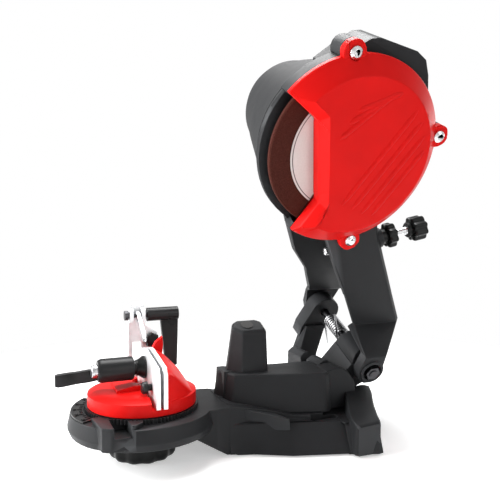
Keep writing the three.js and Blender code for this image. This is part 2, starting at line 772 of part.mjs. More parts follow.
casting = cut(casting, cut(underCavity, cavityRibs, ...slotBosses, ...padSeats));
casting = cut(casting, lugCut, earBore, towerHole, ...slots, ...padPockets, underFlat,
  rod(boltHoleRadius, 0, ribTop, upright, -viseReach, 0, 24));
const centrePad = rod(centrePadRadius, 0, cavityTop + overrun, upright, 0, 0, 24);
const swingRoom = hingeRod(earRadius + swingRoomGap, nearEarStart - swingRoomDepth, nearEarStart, 20);
const farSwingRoom = hingeRod(earRadius + swingRoomGap, farEarEnd, farEarEnd + swingRoomDepth, 20);
casting = join(cut(casting, swingRoom, farSwingRoom), centrePad);
add('base_casting', casting, charcoal());
for (const [name, outline] of padShapes) add(name, slab(outline, 0, padThickness), rubber());
add('stop_pad', join(
  rod(padHoleRadius - fitGap, -padPinLength, 0, towerFrame, 0, 0),
  rod(padFlangeRadius, padProud - padFlangeHeight, padProud, towerFrame, 0, 0, 14)), rubber());
const ringSector = (inner, outer, from, to, steps) =>
  [...arc(0, 0, outer, from, to, steps), ...arc(0, 0, inner, to, from, steps)];
placement = viseFrame;
add('angle_scale', slab(ringSector(scaleInner, scaleOuter, scaleStartDegrees, scaleEndDegrees, 24),
  platformTop + fitGap, platformTop + fitGap + scaleThickness), black());

// Swivel
const knobOutline = lobed(knobRadius, knobScallop, knobFacets, 3);
add('swivel_knob', cut(join(
  loft([[scaled(knobOutline, knobFootShare), knobBottom], [knobOutline, knobBottom + knobFootRise],
    [knobOutline, knobShoulder - knobEdge], [scaled(knobOutline, knobTopShare), knobShoulder]]),
  turned([[0, knobShoulder - overrun], [knobNeckRadius + knobNeckFlare, knobShoulder - overrun],
    [knobNeckRadius, knobNeckTop], [0, knobNeckTop]])),
  rod(boltHoleRadius, knobSocketFloor, ribTop, upright, 0, 0)), black());
add('swivel_washer', turned([[boltHoleRadius, knobNeckTop + fitGap], [washerRadius, knobNeckTop + fitGap],
  [washerRadius, knobNeckTop + fitGap + washerThickness], [boltHoleRadius,
  knobNeckTop + fitGap + washerThickness]],
  upright, 0, 0, 20), zinc());
add('swivel_bolt', join(
  rod(swivelBoltRadius, swivelBoltBottom, swivelShankEnd, upright, 0, 0, 14),
  slab(hexagon(swivelHeadRadius), swivelHeadTop - swivelHeadHeight, swivelHeadTop)), zinc());

// Turntable with the fixed jaw
const jawRing = (half, peak, knee) => [[-half, jawFoot], [-half, knee - (peak - knee) * jawFlankShare],
  [-half * jawKneeShare, knee], [-half * jawPeakShare, peak], [half * jawPeakFarShare, peak],
  [half * jawKneeFarShare, knee], [half, knee - (peak - knee)], [half, jawFoot]];
const jaw = loft(jawSections.map(([x, half, peak, knee]) => [jawRing(half, peak, knee), x]), lengthways);
const saddle = awaySlab(saddleProfile, -saddleHalfWidth, saddleHalfWidth, sideways);
const lugFar = loft([[bracketLug, turntableBottom], [bracketLug, bracketLugTop]]);
let table = join(
  turned([[0, turntableBottom], [turntableRadius - turntableEdge, turntableBottom],
    [turntableRadius, turntableBottom + turntableEdge], [turntableRadius, turntableRim],
    [coneRadius, coneTop],
    [0, coneTop + turntableEdge]], upright, 0, 0, 48),
  jaw, saddle, lugFar, awaySlab(hookProfile, hookStart, hookEnd, sideways));
const railBox = slab([[railSlotStart, -railSlotReach], [jawFace, -railSlotReach], [jawFace, railSlotReach],
  [railSlotStart, railSlotReach]], railSlotFloor, trimReach);
table = cut(table, railBox,
  slab([[-trimReach, -bracketStart], [trimReach, -bracketStart], [trimReach, -trimReach],
  [-trimReach, -trimReach]],
    0, trimReach),
  rod(clampBoltRadius + fitGap, -trimReach, clampBoltEnd + endGap, lengthways, clampSide, clampHeight),
  slab(hexagon(clampNutRadius + fitGap, clampSide, clampHeight), 0, jawFace + clampNutLength + 2 * fitGap,
  lengthways),
  ...[-guideSide, guideSide].map((side) =>
    rod(guideRadius + fitGap, -trimReach, guideEnd + endGap, lengthways, side, guideHeight)),
  slab(hexagon(swivelHeadRadius + fitGap), swivelHeadTop - swivelHeadHeight - fitGap, ribTop),
  rod(boltHoleRadius, 0, ribTop, upright, 0, 0, 14),
  awayRod(bracketTapRadius, bracketStart - bracketTapDepth, bracketStart + overrun, bracketScrewReach,
    bracketScrewHeight));
add('turntable', table, redPlastic());

const railHoles = [
  rod(clampBoltRadius + fitGap, -trimReach, trimReach, lengthways, clampSide, clampHeight),
  ...[-guideSide, guideSide].map((side) =>
    rod(guideRadius + fitGap, -trimReach, trimReach, lengthways, side, guideHeight))];
add('fixed_rail', cut(slab(railOutline, fixedRailStart, fixedRailEnd, lengthways), ...railHoles), zinc());
add('moving_rail', cut(slab(railOutline, movingRailStart, movingRailEnd, lengthways), ...railHoles), zinc());
for (const [name, side] of [['guide_pin_near', -guideSide], ['guide_pin_far', guideSide]]) {
  add(name, turned([[0, guideHeadStart], [guideHeadRadius - guideHeadRound, guideHeadStart],
    [guideHeadRadius, guideHeadStart + guideHeadTaper], [guideHeadRadius, guideHeadEnd],
    [guideRadius, guideHeadEnd],
    [guideRadius, guideEnd], [0, guideEnd]], lengthways, side, guideHeight, 20), black());
}
add('clamp_bolt', rod(clampBoltRadius, clampBoltStart, clampBoltEnd, lengthways, clampSide, clampHeight),
  zinc());
add('clamp_nut', cut(
  slab(hexagon(clampNutRadius, clampSide, clampHeight), jawFace + fitGap, jawFace + fitGap + clampNutLength,
  lengthways),
  rod(clampBoltRadius + fitGap, -trimReach, trimReach, lengthways, clampSide, clampHeight)), zinc());
add('pressure_pad', turned(padProfile, lengthways, clampSide, clampHeight, 24), black());
const leverRing = ([x, half, thick, drop]) => [[-half, drop - thick / 2], [half, drop - thick / 2],
  [half, drop + thick / 2], [-half, drop + thick / 2]].map(([u, v]) => [u + clampSide + leverSide, v + clampHeight]);
add('clamp_lever', cut(join(
  turned(barrelProfile, lengthways, clampSide, clampHeight, 12),
  loft(leverSections.map((section) => [leverRing(section), section[0]]).reverse(), lengthways)),
  rod(clampBoltRadius + fitGap, barrelEnd, 0, lengthways, clampSide, clampHeight, 12),
  rod(clampBoltRadius + fitGap, capPocketStart, capPocketEnd, lengthways, clampSide, clampHeight, 12),
  rod(capPocketRadius, -trimReach, barrelEnd, lengthways, clampSide, clampHeight, 24)), black());
add('barrel_cap', turned(capProfile, lengthways, clampSide, clampHeight, 20), steel());

// Chain stop
const tabOutline = [[pivotSide - tabInset, pivotHeight - tabHalfHeight],
  [bracketStart + tabRoot, pivotHeight - tabHalfHeight], [bracketStart + tabRoot,
  pivotHeight + tabHalfHeight],
  [pivotSide, pivotHeight + tabHalfHeight], [pivotSide - tabInset, pivotHeight + tabBevel]];
add('stop_bracket', cut(
  join(awaySlab(bracketOutline, bracketStart, bracketStart + bracketThickness, sideways),
    slab(tabOutline, farTab[0], farTab[1], lengthways),
    slab(tabOutline, nearTab[0], nearTab[1], lengthways)),
  rod(pivotRadius + fitGap, -trimReach, trimReach, lengthways, pivotSide, pivotHeight),
  awayRod(stopScrewRadius + fitGap, -trimReach, trimReach, stopScrewReach, stopScrewHeight),
  awayRod(bracketHoleRadius, -trimReach, trimReach, bracketScrewReach, bracketScrewHeight)), zinc());
add('bracket_screw', join(
  awayRod(bracketScrewRadius, bracketStart - bracketScrewLength, bracketStart + bracketThickness + endGap,
    bracketScrewReach, bracketScrewHeight),
  awayRod(bracketScrewHeadRadius, bracketStart + bracketThickness + fitGap,
    bracketStart + bracketThickness + bracketScrewHeadHeight, bracketScrewReach, bracketScrewHeight)),
    steel());
add('stop_pivot', turned([[0, pivotStart - pivotHeadLength], [pivotHeadRadius, pivotStart - pivotHeadLength],
  [pivotHeadRadius, pivotStart + pivotHeadRoot], [pivotRadius, pivotStart + pivotHeadRoot],
  [pivotRadius, stopHubEnd - pivotInset], [0, stopHubEnd - pivotInset]], lengthways, pivotSide, pivotHeight,
  20), steel());
add('stop_lever', cut(join(
  rod(stopHubRadius, stopHubStart, stopHubEnd, lengthways, pivotSide, pivotHeight, 24),
  awaySlab(stopBlade, pivotSide - stopBladeThickness / 2, pivotSide + stopBladeThickness / 2, sideways)),
  rod(pivotRadius + fitGap, 0, stopHubEnd - hubEndWall, lengthways, pivotSide, pivotHeight)), black());
add('stop_pawl', cut(slab(pawlOutline, pawlStart, pawlEnd, lengthways),
  rod(pivotRadius + fitGap, -trimReach, trimReach, lengthways, pivotSide, pivotHeight)), zinc());
add('stop_screw', awayRod(stopScrewRadius, stopKnobStart + stopScrewInset, stopScrewEnd, stopScrewReach,
  stopScrewHeight),
  zinc());
add('stop_knob', cut(
  awaySlab(lobed(stopKnobRadius, stopKnobDip, 8, 4, stopScrewReach, stopScrewHeight), stopKnobStart,
  stopKnobEnd,
    sideways),
  awayRod(stopScrewRadius + fitGap, stopKnobStart + stopKnobFloor, trimReach, stopScrewReach,
  stopScrewHeight)),
  black());

// Wheel set
placement = leaning;
add('grinding_disc', headTurned([[discBore, 0], [discBore, -discThickness],
  [discRadius - discEdge, -discThickness],
  [discRadius, -discThickness + discEdge], [discRadius, -discEdge], [discRadius - discEdge, 0]], 0, 0, 48),
  abrasive());
add('disc_label', headTurned([[flangeRadius + labelBoreGap, -discThickness - fitGap],
  [labelRadius, -discThickness - fitGap], [labelRadius, -discThickness - fitGap - labelThickness],
  [flangeRadius + labelBoreGap, -discThickness - fitGap - labelThickness]], 0, 0, 28), paper());
const flangeBack = fitGap + innerFlangeWidth;
add('inner_flange', headTurned([[arborRadius + fitGap, -discThickness + flangeRegister],
  [discBore - fitGap, -discThickness + flangeRegister], [discBore - fitGap, fitGap], [flangeRadius, fitGap],
  [flangeRadius - flangeEdge, flangeBack], [flangeHub, flangeBack], [flangeHub, flangeBack - flangeHubStep],
  [arborRadius + fitGap, flangeBack - flangeHubStep]], 0, 0, 14), zinc());
const outerFlangeStart = -discThickness - fitGap;
add('outer_flange', headTurned([[arborRadius + fitGap, outerFlangeStart], [flangeRadius, outerFlangeStart],
  [flangeRadius - flangeEdge, outerFlangeStart - outerFlangeWidth],
  [arborRadius + fitGap, outerFlangeStart - outerFlangeWidth]], 0, 0, 20), zinc());
const arborNutEnd = outerFlangeStart - outerFlangeWidth - fitGap;
add('arbor_nut', cut(awaySlab(hexagon(arborNutRadius), arborNutEnd - arborNutWidth, arborNutEnd),
  headRod(arborRadius + fitGap, -longReach, longReach, 0, 0)), zinc());
add('spindle', headTurned([[0, spindleFront], [arborRadius - spindleTipTaper, spindleFront],
  [arborRadius, spindleFront + spindleTipLength], [arborRadius, flangeBack], [spindleRadius, flangeBack],
  [spindleRadius, spindleRear - spindleTipLength], [spindleRadius - spindleEndRound, spindleRear],
  [0, spindleRear]],
  0, 0, 14), steel());
const bearing = (start) => headTurned([[spindleRadius + fitGap, start], [bearingLand, start],
  [bearingLand, start + bearingGroove], [bearingShield, start + bearingGroove], [bearingShield, start],
  [bearingRadius, start], [bearingRadius, start + bearingWidth],
  [spindleRadius + fitGap, start + bearingWidth]],
  0, 0, 20);
add('bearing_front', bearing(frontBearing), steel());
add('bearing_rear', bearing(rearBearing), steel());
const slotted = Array.from({ length: armatureSlots * 4 }, (_, i) => {
  const angle = (2 * Math.PI * (Math.floor(i / 4) + armatureSlotShares[i % 4])) / armatureSlots;
  const reach = i % 4 === 2 || i % 4 === 3 ? armatureRadius : armatureRadius * armatureSlotShare;
  return [reach * Math.cos(angle), reach * Math.sin(angle)];
});
const throughSpindle = headRod(spindleRadius + fitGap, -longReach, longReach, 0, 0, 14);
add('armature', cut(awaySlab(slotted, statorStart, statorEnd), throughSpindle), steel());
add('commutator', cut(awaySlab(lobed(commutatorRadius, commutatorDip, commutatorBars, 2), commutatorStart,
  commutatorEnd), throughSpindle), copper());
const blade = (i) => {
  const turn = new THREE.Matrix4().makeRotationZ((2 * Math.PI * i) / fanBlades);
  const frame = headFrame.clone().multiply(turn);
  return awaySlab([[fanHub - bladeRoot, -fanBladeWidth / 2], [fanRadius, -fanBladeWidth * 3],
    [fanRadius, -fanBladeWidth * 2], [fanHub - bladeRoot, fanBladeWidth / 2]], fanStart,
    fanStart + fanWidth, frame);
};
add('cooling_fan', cut(join(
  headRod(fanHub, fanStart, fanStart + fanWidth, 0, 0, 14),
  headRod(fanRadius, fanStart, fanStart + fanPlate, 0, 0, 20),
  ...Array.from({ length: fanBlades }, (_, i) => blade(i))), throughSpindle), black());

// Motor field and brushes
const flatsBox = awaySlab(box(flatsReach, statorFlat), windingStart - overrun, statorEnd + flatsDepth);
const longScrews = [-longScrewReach, longScrewReach];
add('stator', common(headTurned([[statorBore, statorStart], [statorRadius, statorStart],
  [statorRadius, statorEnd],
  [statorBore, statorEnd]], 0, 0, 28), flatsBox), steel());
const windingBore = statorBore + windingBoreGap;
add('field_winding_front', common(headTurned([[windingBore, windingStart],
  [windingRadius, windingStart + windingTaper],
  [windingRadius + windingTaper, statorStart - fitGap], [windingBore, statorStart - fitGap]], 0, 0, 20),
  flatsBox),
  copper());
add('field_winding_rear', common(headTurned([[windingBore, statorEnd + fitGap],
  [windingRadius + windingTaper, statorEnd + fitGap], [windingRadius, statorEnd + windingDepth],
  [windingBore, statorEnd + windingInnerDepth]], 0, 0, 20), flatsBox), copper());
const brushBox = (side, from, to, half, start, end) => awaySlab(side > 0
  ? [[from, -half], [to, -half], [to, half], [from, half]]
  : [[-to, -half], [-from, -half], [-from, half], [-to, half]], start, end);
const brushStart = brushMiddle - brushWidth / 2;
const brushAt = [['brush_left', -1], ['brush_right', 1]];
for (const [name, side] of brushAt) {
  add(name, brushBox(side, commutatorRadius + fitGap, brushReach, brushHeight / 2, brushStart,
    brushStart + brushWidth),
    black());
}
const carrierRing = headTurned([[carrierInner, carrierStart], [carrierOuter, carrierStart],
  [carrierOuter, carrierStart + carrierThickness], [carrierInner, carrierStart + carrierThickness]], 0, 0,
  20);
const holders = brushAt.map(([, side]) => cut(
  brushBox(side, carrierInner, holderOuter, brushHeight / 2 + fitGap + holderWall,
  brushStart - fitGap - holderWall,
    carrierStart + overrun / 2),
  brushBox(side, brushSlotStart, brushSlotEnd, brushHeight / 2 + fitGap, brushStart - fitGap,
    brushStart + brushWidth + fitGap)));
add('brush_carrier', cut(join(carrierRing, ...holders),
  ...longScrews.map((u) => headRod(longScrewRadius + fitGap, 0, longReach, u, 0))), black());
for (const [name, u] of [['shell_screw_left', -longScrewReach], ['shell_screw_right', longScrewReach]]) {
  add(name, join(headRod(longScrewRadius, longScrewStart, longScrewEnd, u, 0, 14),
    headRod(longScrewHeadRadius, longScrewHeadStart, longScrewHeadEnd, u, 0, 14)), zinc());
}

// Head casting
const openingSector = (inner, outer, growDegrees = 0) => {
  const first = openingDegrees - openingHalfDegrees - growDegrees;
  const last = openingDegrees + openingHalfDegrees + growDegrees;
  return ringSector(inner, outer, first, last, 16);
};
const openTool = join(
  awaySlab(openingSector(discRadius + openingRoom, openingReach), guardFront - overrun, plateFront),
  awaySlab(openingSector(neckRadius + neckRoom, openingReach), plateFront - plateStep,
  plateBack + neckCutDepth));
// Guard ring, back plate, neck and bearing seat are one turned profile.
const housing = cut(headTurned([[spindleRadius + spindleRoom, plateFront], [guardInner, plateFront],
  [guardInner, guardFront], [guardOuter, guardFront], [guardOuter, plateFront + guardStep],
  [neckRadius, plateBack + plateStep], [seamRadius, seam], [seamRadius - neckWall, seam],
  [seamRadius - neckWall, plateBack], [bearingBossRadius, plateBack],
  [bearingBossRadius, frontBearing + bearingWidth], [bearingRadius + fitGap, frontBearing + bearingWidth],
  [bearingRadius + fitGap, frontBearing - fitGap], [spindleRadius + spindleRoom, frontBearing - fitGap]], 0,
  0, 48),
  openTool);
const earPoint = (angle) => [coverEarReach * Math.cos(radians(angle)),
  coverEarReach * Math.sin(radians(angle))];
const coverBosses = earAngles.map((angle) => headRod(coverEarRadius, guardFront, plateBack,
  ...earPoint(angle), 16));
const bump = awaySlab(bumpOutline, bumpFront, bumpBack);
const armFrame = new THREE.Matrix4().multiplyMatrices(headFrame, new THREE.Matrix4().makeBasis(
  new THREE.Vector3(1, 0, 0), new THREE.Vector3(0, 0, -1), new THREE.Vector3(0, 1, 0)));
const armSection = ([, na, nb, nw, fa, fb, fw], soften) => {
  const c = soften ? armCorner : 0;
  return soften
    ? [[na, nw], [nb - c, nw], [nb, nw + c], [fb, fw - c], [fb - c, fw], [fa, fw]]
    : [[na, nw], [nb, nw], [fb, fw], [fa, fw]];
};
const armLoft = (sections, soften) => loft(sections.map((row) => [armSection(row, soften),
  row[0]]).reverse(), armFrame);
const depthFrame = new THREE.Matrix4().multiplyMatrices(headFrame, new THREE.Matrix4().multiplyMatrices(
  new THREE.Matrix4().makeTranslation(depthTip[0], depthTip[1], -depthSide),
  new THREE.Matrix4().multiplyMatrices(
    new THREE.Matrix4().makeRotationZ(radians(depthRise)), lengthways)));
const depthRod = (radius, from, to, segments = 12) => rod(radius, from, to, depthFrame, 0, 0, segments);
const ribPlates = armRibs.map(([v, from, to]) => awaySlab([[from, v], [to, v + armRibRise],
  [to, v + armRibRise + armRibWidth], [from, v + armRibWidth]], armRibStart, armRibEnd));
const armHollow = cut(armLoft(armInner, false), ...ribPlates, awaySlab(armSpine, armSpineStart, armSpineEnd));
const arm = cut(armLoft(armOuter, true), armHollow);
const wheelRoom = headRod(discRadius + wheelRoomGap, guardFront - 2 * overrun, plateFront + plateStep, 0, 0,
  48);
const motorRoom = headTurned([[0, plateFront + motorRoomInset],
  [seamRadius - motorRoomInset, plateFront + motorRoomInset],
  [seamRadius - motorRoomInset, seam], [seamRadius + motorRoomRelief, seam],
  [seamRadius - motorRoomNeck, motorRoomNeckEnd], [seamRadius - motorRoomTaper, motorRoomEnd],
  [0, motorRoomEnd]],
  0, 0, 48);
const screwPosts = longScrews.map((u) => headRod(longScrewRadius + longScrewPost, plateFront + plateStep,
  seam, u, 0, 10));
let head = cut(join(bump, arm, ...coverBosses, depthRod(bossRadius, bossStart, bossEnd, 20)), wheelRoom,
  motorRoom);
head = join(head, housing, ...screwPosts);
const recessFrom = forkNear - overrun;
head = cut(head,
  headRod(forkBoreRadius, forkNear - overrun, forkFar + overrun, hingeU, hingeV, 16),
  headRod(nutRecessRadius, recessFrom, forkNear + nutRecessDepth, hingeU, hingeV, 16),
  depthRod(depthRadius + fitGap, -longReach, longReach),
  ...longScrews.map((u) => headRod(longScrewRadius + fitGap, longScrewStart - longScrewRoom,
  motorRoomNeckEnd, u, 0, 10)),
  ...earAngles.map((angle) => headRod(coverScrewRadius + fitGap, guardFront - overrun, plateBack - overrun,
    ...earPoint(angle), 10)),
  awaySlab(switchOutline, bumpBack - switchDepth, bumpBack + overrun));
add('head_casting', head, charcoal());
// Wheel cover
const away = [Math.cos(radians(openingDegrees)), Math.sin(radians(openingDegrees))];
const along = [-away[1], away[0]];
// The opening's outline: a chord near the centre whose ends flare out to the rim.
function openingOutline(inset) {
  const chord = coverChord - inset;
  const half = coverChord * Math.tan(radians(openingHalfDegrees)) + inset * openingEndShare;
  const outer = coverRadius * openingReachShare;
  const halfOuter = outer * Math.tan(radians(openingHalfDegrees)) + inset * openingFlareShare;
  return [[chord, -half], [outer, -halfOuter], [outer, halfOuter], [chord, half]]
    .map(([d, t]) => [d * away[0] + t * along[0], d * away[1] + t * along[1]]);
}
const openingCut = (inset) => loft([[openingOutline(inset), -coverBack - overrun],
  [openingOutline(inset), -coverBack + 2 * coverRimDepth],
  [openingOutline(inset + chordBevel), -coverFront + overrun]], headFrame);
const coverOuter = headTurned([[0, coverBack], [coverRadius, coverBack],
  [coverRadius, coverBack - coverRimDepth],
  [coverFaceRadius, coverFront], [0, coverFront]], 0, 0, 48);
const coverInner = headTurned([[0, coverBack + overrun], [coverRadius - coverWall, coverBack + overrun],
  [coverRadius - coverWall, coverBack - coverRimDepth], [coverFaceRadius - coverWall * coverFaceWallShare,
  coverFront + coverWall],
  [0, coverFront + coverWall]], 0, 0, 36);
const coverEars = earAngles.map((angle) =>
  headRod(coverEarRadius, coverBack - coverEarThickness, coverBack, ...earPoint(angle), 18));
const coverCavity = cut(coverInner, openingCut(coverWall));
let cover = join(cut(coverOuter, openingCut(0)), ...coverEars);
cover = cut(cover, coverCavity);
cover = cut(cover,
  ...earAngles.map((angle) => headRod(coverScrewRadius + fitGap, coverFront, 0, ...earPoint(angle))),
  ...earAngles.map((angle) => headRod(coverScrewHead + coverScrewRoom, coverFront - overrun,
  coverBack - coverEarThickness,
    ...earPoint(angle), 16)));
add('wheel_cover', cover, redPlastic());
const screwTop = coverBack - coverEarThickness - fitGap;
earAngles.forEach((angle, i) => {
  const [u, v] = earPoint(angle);
  const cross = [box(crossSize / 2, crossWidth / 2), box(crossWidth / 2,
    crossSize / 2)].map((bar) => awaySlab(
    shifted(bar, u, v), screwTop - coverScrewHeadHeight - overrun,
    screwTop - coverScrewHeadHeight + crossDepth));
  add('cover_screw_' + (i + 1), cut(headTurned([[0, screwTop - coverScrewHeadHeight],
    [coverScrewHead * coverScrewCrownShare, screwTop - coverScrewHeadHeight],
    [coverScrewHead, screwTop - coverScrewHeadHeight * coverScrewSideShare],
    [coverScrewHead, screwTop], [coverScrewRadius, screwTop], [coverScrewRadius, screwTop + coverScrewLength],
    [0, screwTop + coverScrewLength]], u, v, 16), ...cross), zinc());
});

// Motor shell
const shellInner = shellProfile.map(([r, w]) => [r - shellWall, w]).slice(0, -1);
let shell = headTurned([...shellProfile, [0, shellEnd], [0, shellEndInner], [shellEndBore, shellEndInner],
  ...shellInner.reverse()], 0, 0, 44);
const rearSeatEnd = rearBearing + bearingWidth + fitGap;
const rearBoss = headTurned([[bearingRadius + fitGap, rearBearing - rearBossLead],
  [bearingRadius + rearBossWall, rearBearing - rearBossLead], [bearingRadius + rearBossWall, rearBossEnd],
  [rearBossBore, rearBossEnd], [rearBossBore, rearSeatEnd], [bearingRadius + fitGap, rearSeatEnd]], 0, 0, 24);
shell = join(shell, rearBoss);
const vents = Array.from({ length: ventCount }, (_, i) => {
  const turn = new THREE.Matrix4().makeRotationZ((2 * Math.PI * (i + 0.5)) / ventCount);
  return awaySlab([[ventInner, -ventWidth / 2], [ventOuter, -ventWidth / 2], [ventOuter, ventWidth / 2],
    [ventInner, ventWidth / 2]], ventStart, shellEnd + overrun, headFrame.clone().multiply(turn));
});
shell = cut(shell, ...vents);
add('motor_shell', shell, charcoal());

// Switch and rocker
const switchTurn = new THREE.Matrix4().multiplyMatrices(headFrame, new THREE.Matrix4()
  .makeTranslation(switchCentre[0], switchCentre[1], 0)
  .multiply(new THREE.Matrix4().makeRotationZ(radians(switchTurnDegrees))));
add('switch_body', cut(
  awaySlab(box(...switchHalf), switchFloor, switchFace, switchTurn),
  awaySlab(box(...rockerWell), rockerWellFloor, bumpBack + overrun, switchTurn)), black());
const rockerFrame = new THREE.Matrix4().multiplyMatrices(switchTurn, new THREE.Matrix4().makeBasis(
  new THREE.Vector3(1, 0, 0), new THREE.Vector3(0, 0, -1), new THREE.Vector3(0, 1, 0)));
add('rocker', slab(rockerProfile, -rockerWidth / 2, rockerWidth / 2, rockerFrame), redPlastic());

// Hinge
add('hinge_bolt', join(
  headRod(hingeBoltRadius, forkNear - hingeBoltLead, forkFar + hingeHeadRoot, hingeU, hingeV, 20),
  awaySlab(hexagon(hingeHeadRadius, hingeU, hingeV), forkFar + fitGap, forkFar + fitGap + hingeHeadWidth)),
  zinc());
const nutBack = forkNear + nutRecessDepth - fitGap;
add('hinge_nut', cut(awaySlab(hexagon(hingeNutRadius, hingeU, hingeV), nutBack - hingeNutWidth, nutBack),
  headRod(hingeBoltRadius + fitGap, -longReach, longReach, hingeU, hingeV)), zinc());

// Depth screw
add('depth_rod', depthRod(depthRadius, 0, depthLength, 16), zinc());
const star = (from, to) => {
  const outline = lobed(starRadius, starDip, starLobes, 4);
  return loft([[scaled(outline, starFaceShare), from], [outline, from + starEdge], [outline, to - starEdge],
    [scaled(outline, starFaceShare), to]], depthFrame);
};
add('depth_lock_knob', cut(join(star(lockStart + starHubLength, lockStart + starHubLength + lockWidth),
  depthRod(starHub, lockStart, lockStart + starHubLength + starHubRoot, 20)),
  depthRod(depthRadius + fitGap, 0, longReach, 16)), black());
add('depth_knob', cut(join(
  star(endKnobStart + endKnobHubLength, endKnobStart + endKnobHubLength + endKnobWidth),
  depthRod(starHub, endKnobStart, endKnobStart + endKnobHubLength + starHubRoot, 20)),
  depthRod(depthRadius + fitGap, 0, depthLength + fitGap, 16)), black());

// Torsion spring: straight leg, coil, straight leg. The legs leave the coil straight for one wire diameter.
const springPath = [];
const coilSteps = Math.round(coilTurns * curlSteps);
const startAngle = radians(springStartDegrees);
for (let i = 0; i <= coilSteps; i += 1) {
  const angle = startAngle + (2 * Math.PI * i) / curlSteps;
  springPath.push([hingeU + coilRadius * Math.cos(angle), hingeV + coilRadius * Math.sin(angle),
    coilStart + (coilPitch * i) / curlSteps]);
}
const tangent = (angle, sign) => [-Math.sin(angle) * sign, Math.cos(angle) * sign];
const firstDir = tangent(startAngle, -1);
const lastAngle = startAngle + (2 * Math.PI * coilSteps) / curlSteps;
const lastDir = tangent(lastAngle, 1);
const firstPoint = springPath[0];
const lastPoint = springPath[springPath.length - 1];
for (const reach of [2 * wireRadius, legLength]) {
  springPath.unshift([firstPoint[0] + firstDir[0] * reach, firstPoint[1] + firstDir[1] * reach,
  firstPoint[2]]);
  springPath.push([lastPoint[0] + lastDir[0] * reach, lastPoint[1] + lastDir[1] * reach, lastPoint[2]]);
}
const springPoints = springPath.map(([a, b, w]) => new THREE.Vector3(a, b, -w));
let leastGap = Infinity;
for (let i = 0; i < springPoints.length; i += 1) {
  for (let j = i + 3; j < springPoints.length; j += 1) {
    leastGap = Math.min(leastGap, springPoints[i].distanceTo(springPoints[j]) - 2 * wireRadius);
  }
}
// Rings of the wire, each at right angles to the mean of its two neighbours' directions.
const springRings = springPoints.map((point, i) => {
  const before = springPoints[Math.max(i - 1, 0)];
  const after = springPoints[Math.min(i + 1, springPoints.length - 1)];
  const direction = after.clone().sub(before).normalize();
  const side = new THREE.Vector3(0, 0, 1).cross(direction).normalize();
  const up = direction.clone().cross(side);
  return Array.from({ length: wireSides }, (_, k) => {
    const angle = (2 * Math.PI * k) / wireSides;
    return point.clone().addScaledVector(side, wireRadius * Math.cos(angle))
      .addScaledVector(up, wireRadius * Math.sin(angle)).toArray();
  });
});
const springGeometry = skin(springRings);
springGeometry.applyMatrix4(headFrame);
add('torsion_spring', solid(springGeometry), steel());
console.log('spring gap', leastGap.toFixed(2));
console.log('triangles', triangleTotal, 'pieces', group.children.length);
export default group;
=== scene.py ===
import bpy, bmesh, json, math
from mathutils import Matrix, Vector


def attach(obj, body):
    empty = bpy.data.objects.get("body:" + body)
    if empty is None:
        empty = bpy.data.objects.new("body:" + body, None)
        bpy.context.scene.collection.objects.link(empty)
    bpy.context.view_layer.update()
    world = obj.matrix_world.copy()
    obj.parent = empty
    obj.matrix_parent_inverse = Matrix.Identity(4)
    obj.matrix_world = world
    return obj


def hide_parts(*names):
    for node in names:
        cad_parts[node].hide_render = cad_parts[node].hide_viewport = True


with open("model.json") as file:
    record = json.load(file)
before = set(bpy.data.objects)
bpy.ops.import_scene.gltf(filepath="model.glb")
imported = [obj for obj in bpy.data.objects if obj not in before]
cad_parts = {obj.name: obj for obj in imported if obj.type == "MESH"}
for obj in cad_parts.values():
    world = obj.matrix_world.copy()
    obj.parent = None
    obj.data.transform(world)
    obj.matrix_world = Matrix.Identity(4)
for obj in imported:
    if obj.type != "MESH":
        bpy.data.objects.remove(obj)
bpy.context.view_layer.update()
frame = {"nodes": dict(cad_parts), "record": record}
nodes = frame["nodes"]
bodyOf = {node: body for body, members in frame["record"]["behaviour"]["bodies"].items() for node in members}
mm = 0.001


# Sizes and places are in mm and turns in degrees, unless a note says otherwise.
def moved(x, y, z):
    return Matrix.Translation((x * mm, y * mm, z * mm))


def turned(angle, axis):
    return Matrix.Rotation(math.radians(angle), 4, axis)


# The head leans away from the operator. Its own axes are along the base, up the disc, and out to the operator.
lean = {"up": Vector((0, -0.438371, 0.898794)), "out": Vector((0, -0.898794, -0.438371)),
        "disc": Vector((13.3, -68, 206.4))}
headMatrix = Matrix.Translation(lean["disc"] * mm) @ Matrix((
    (1, 0, 0), (0, lean["up"].y, lean["out"].y), (0, lean["up"].z, lean["out"].z))).to_4x4()
# Where the others start: the vise in the base's axes, the clamp and stop screws in the vise's, and the depth
# screw and the hinge in the head's
places = {"vise": (-105, 0, 0), "clamp": (0, -5, 61.5), "stop": (15.4, 0, 71), "depth": (8.6, -79.6, -7.5),
          "depthTurn": 14.1, "hinge": (48.6, -160.6, 0)}
viseMatrix = moved(*places["vise"])
clampMatrix = viseMatrix @ moved(*places["clamp"]) @ turned(90, "Y")
stopMatrix = viseMatrix @ moved(*places["stop"]) @ turned(-90, "X")
depthMatrix = headMatrix @ moved(*places["depth"]) @ turned(places["depthTurn"], "Z") @ turned(90, "Y")
hingeMatrix = headMatrix @ moved(*places["hinge"])


# Materials
# Starts a material and hands back its shader and its own place in the part, in mm.
def startMaterial(name, color, roughness, metallic=0.0):
    material = bpy.data.materials.new(name)
    material.use_nodes = True
    tree = material.node_tree
    shader = tree.nodes["Principled BSDF"]
    shader.inputs["Base Color"].default_value = (*color, 1)
    shader.inputs["Roughness"].default_value = roughness
    shader.inputs["Metallic"].default_value = metallic
    place = tree.nodes.new("ShaderNodeTexCoord")
    size = tree.nodes.new("ShaderNodeVectorMath")
    size.operation = "SCALE"
    size.inputs["Scale"].default_value = 1 / mm
    tree.links.new(place.outputs["Object"], size.inputs[0])
    return material, tree, shader, size.outputs["Vector"]


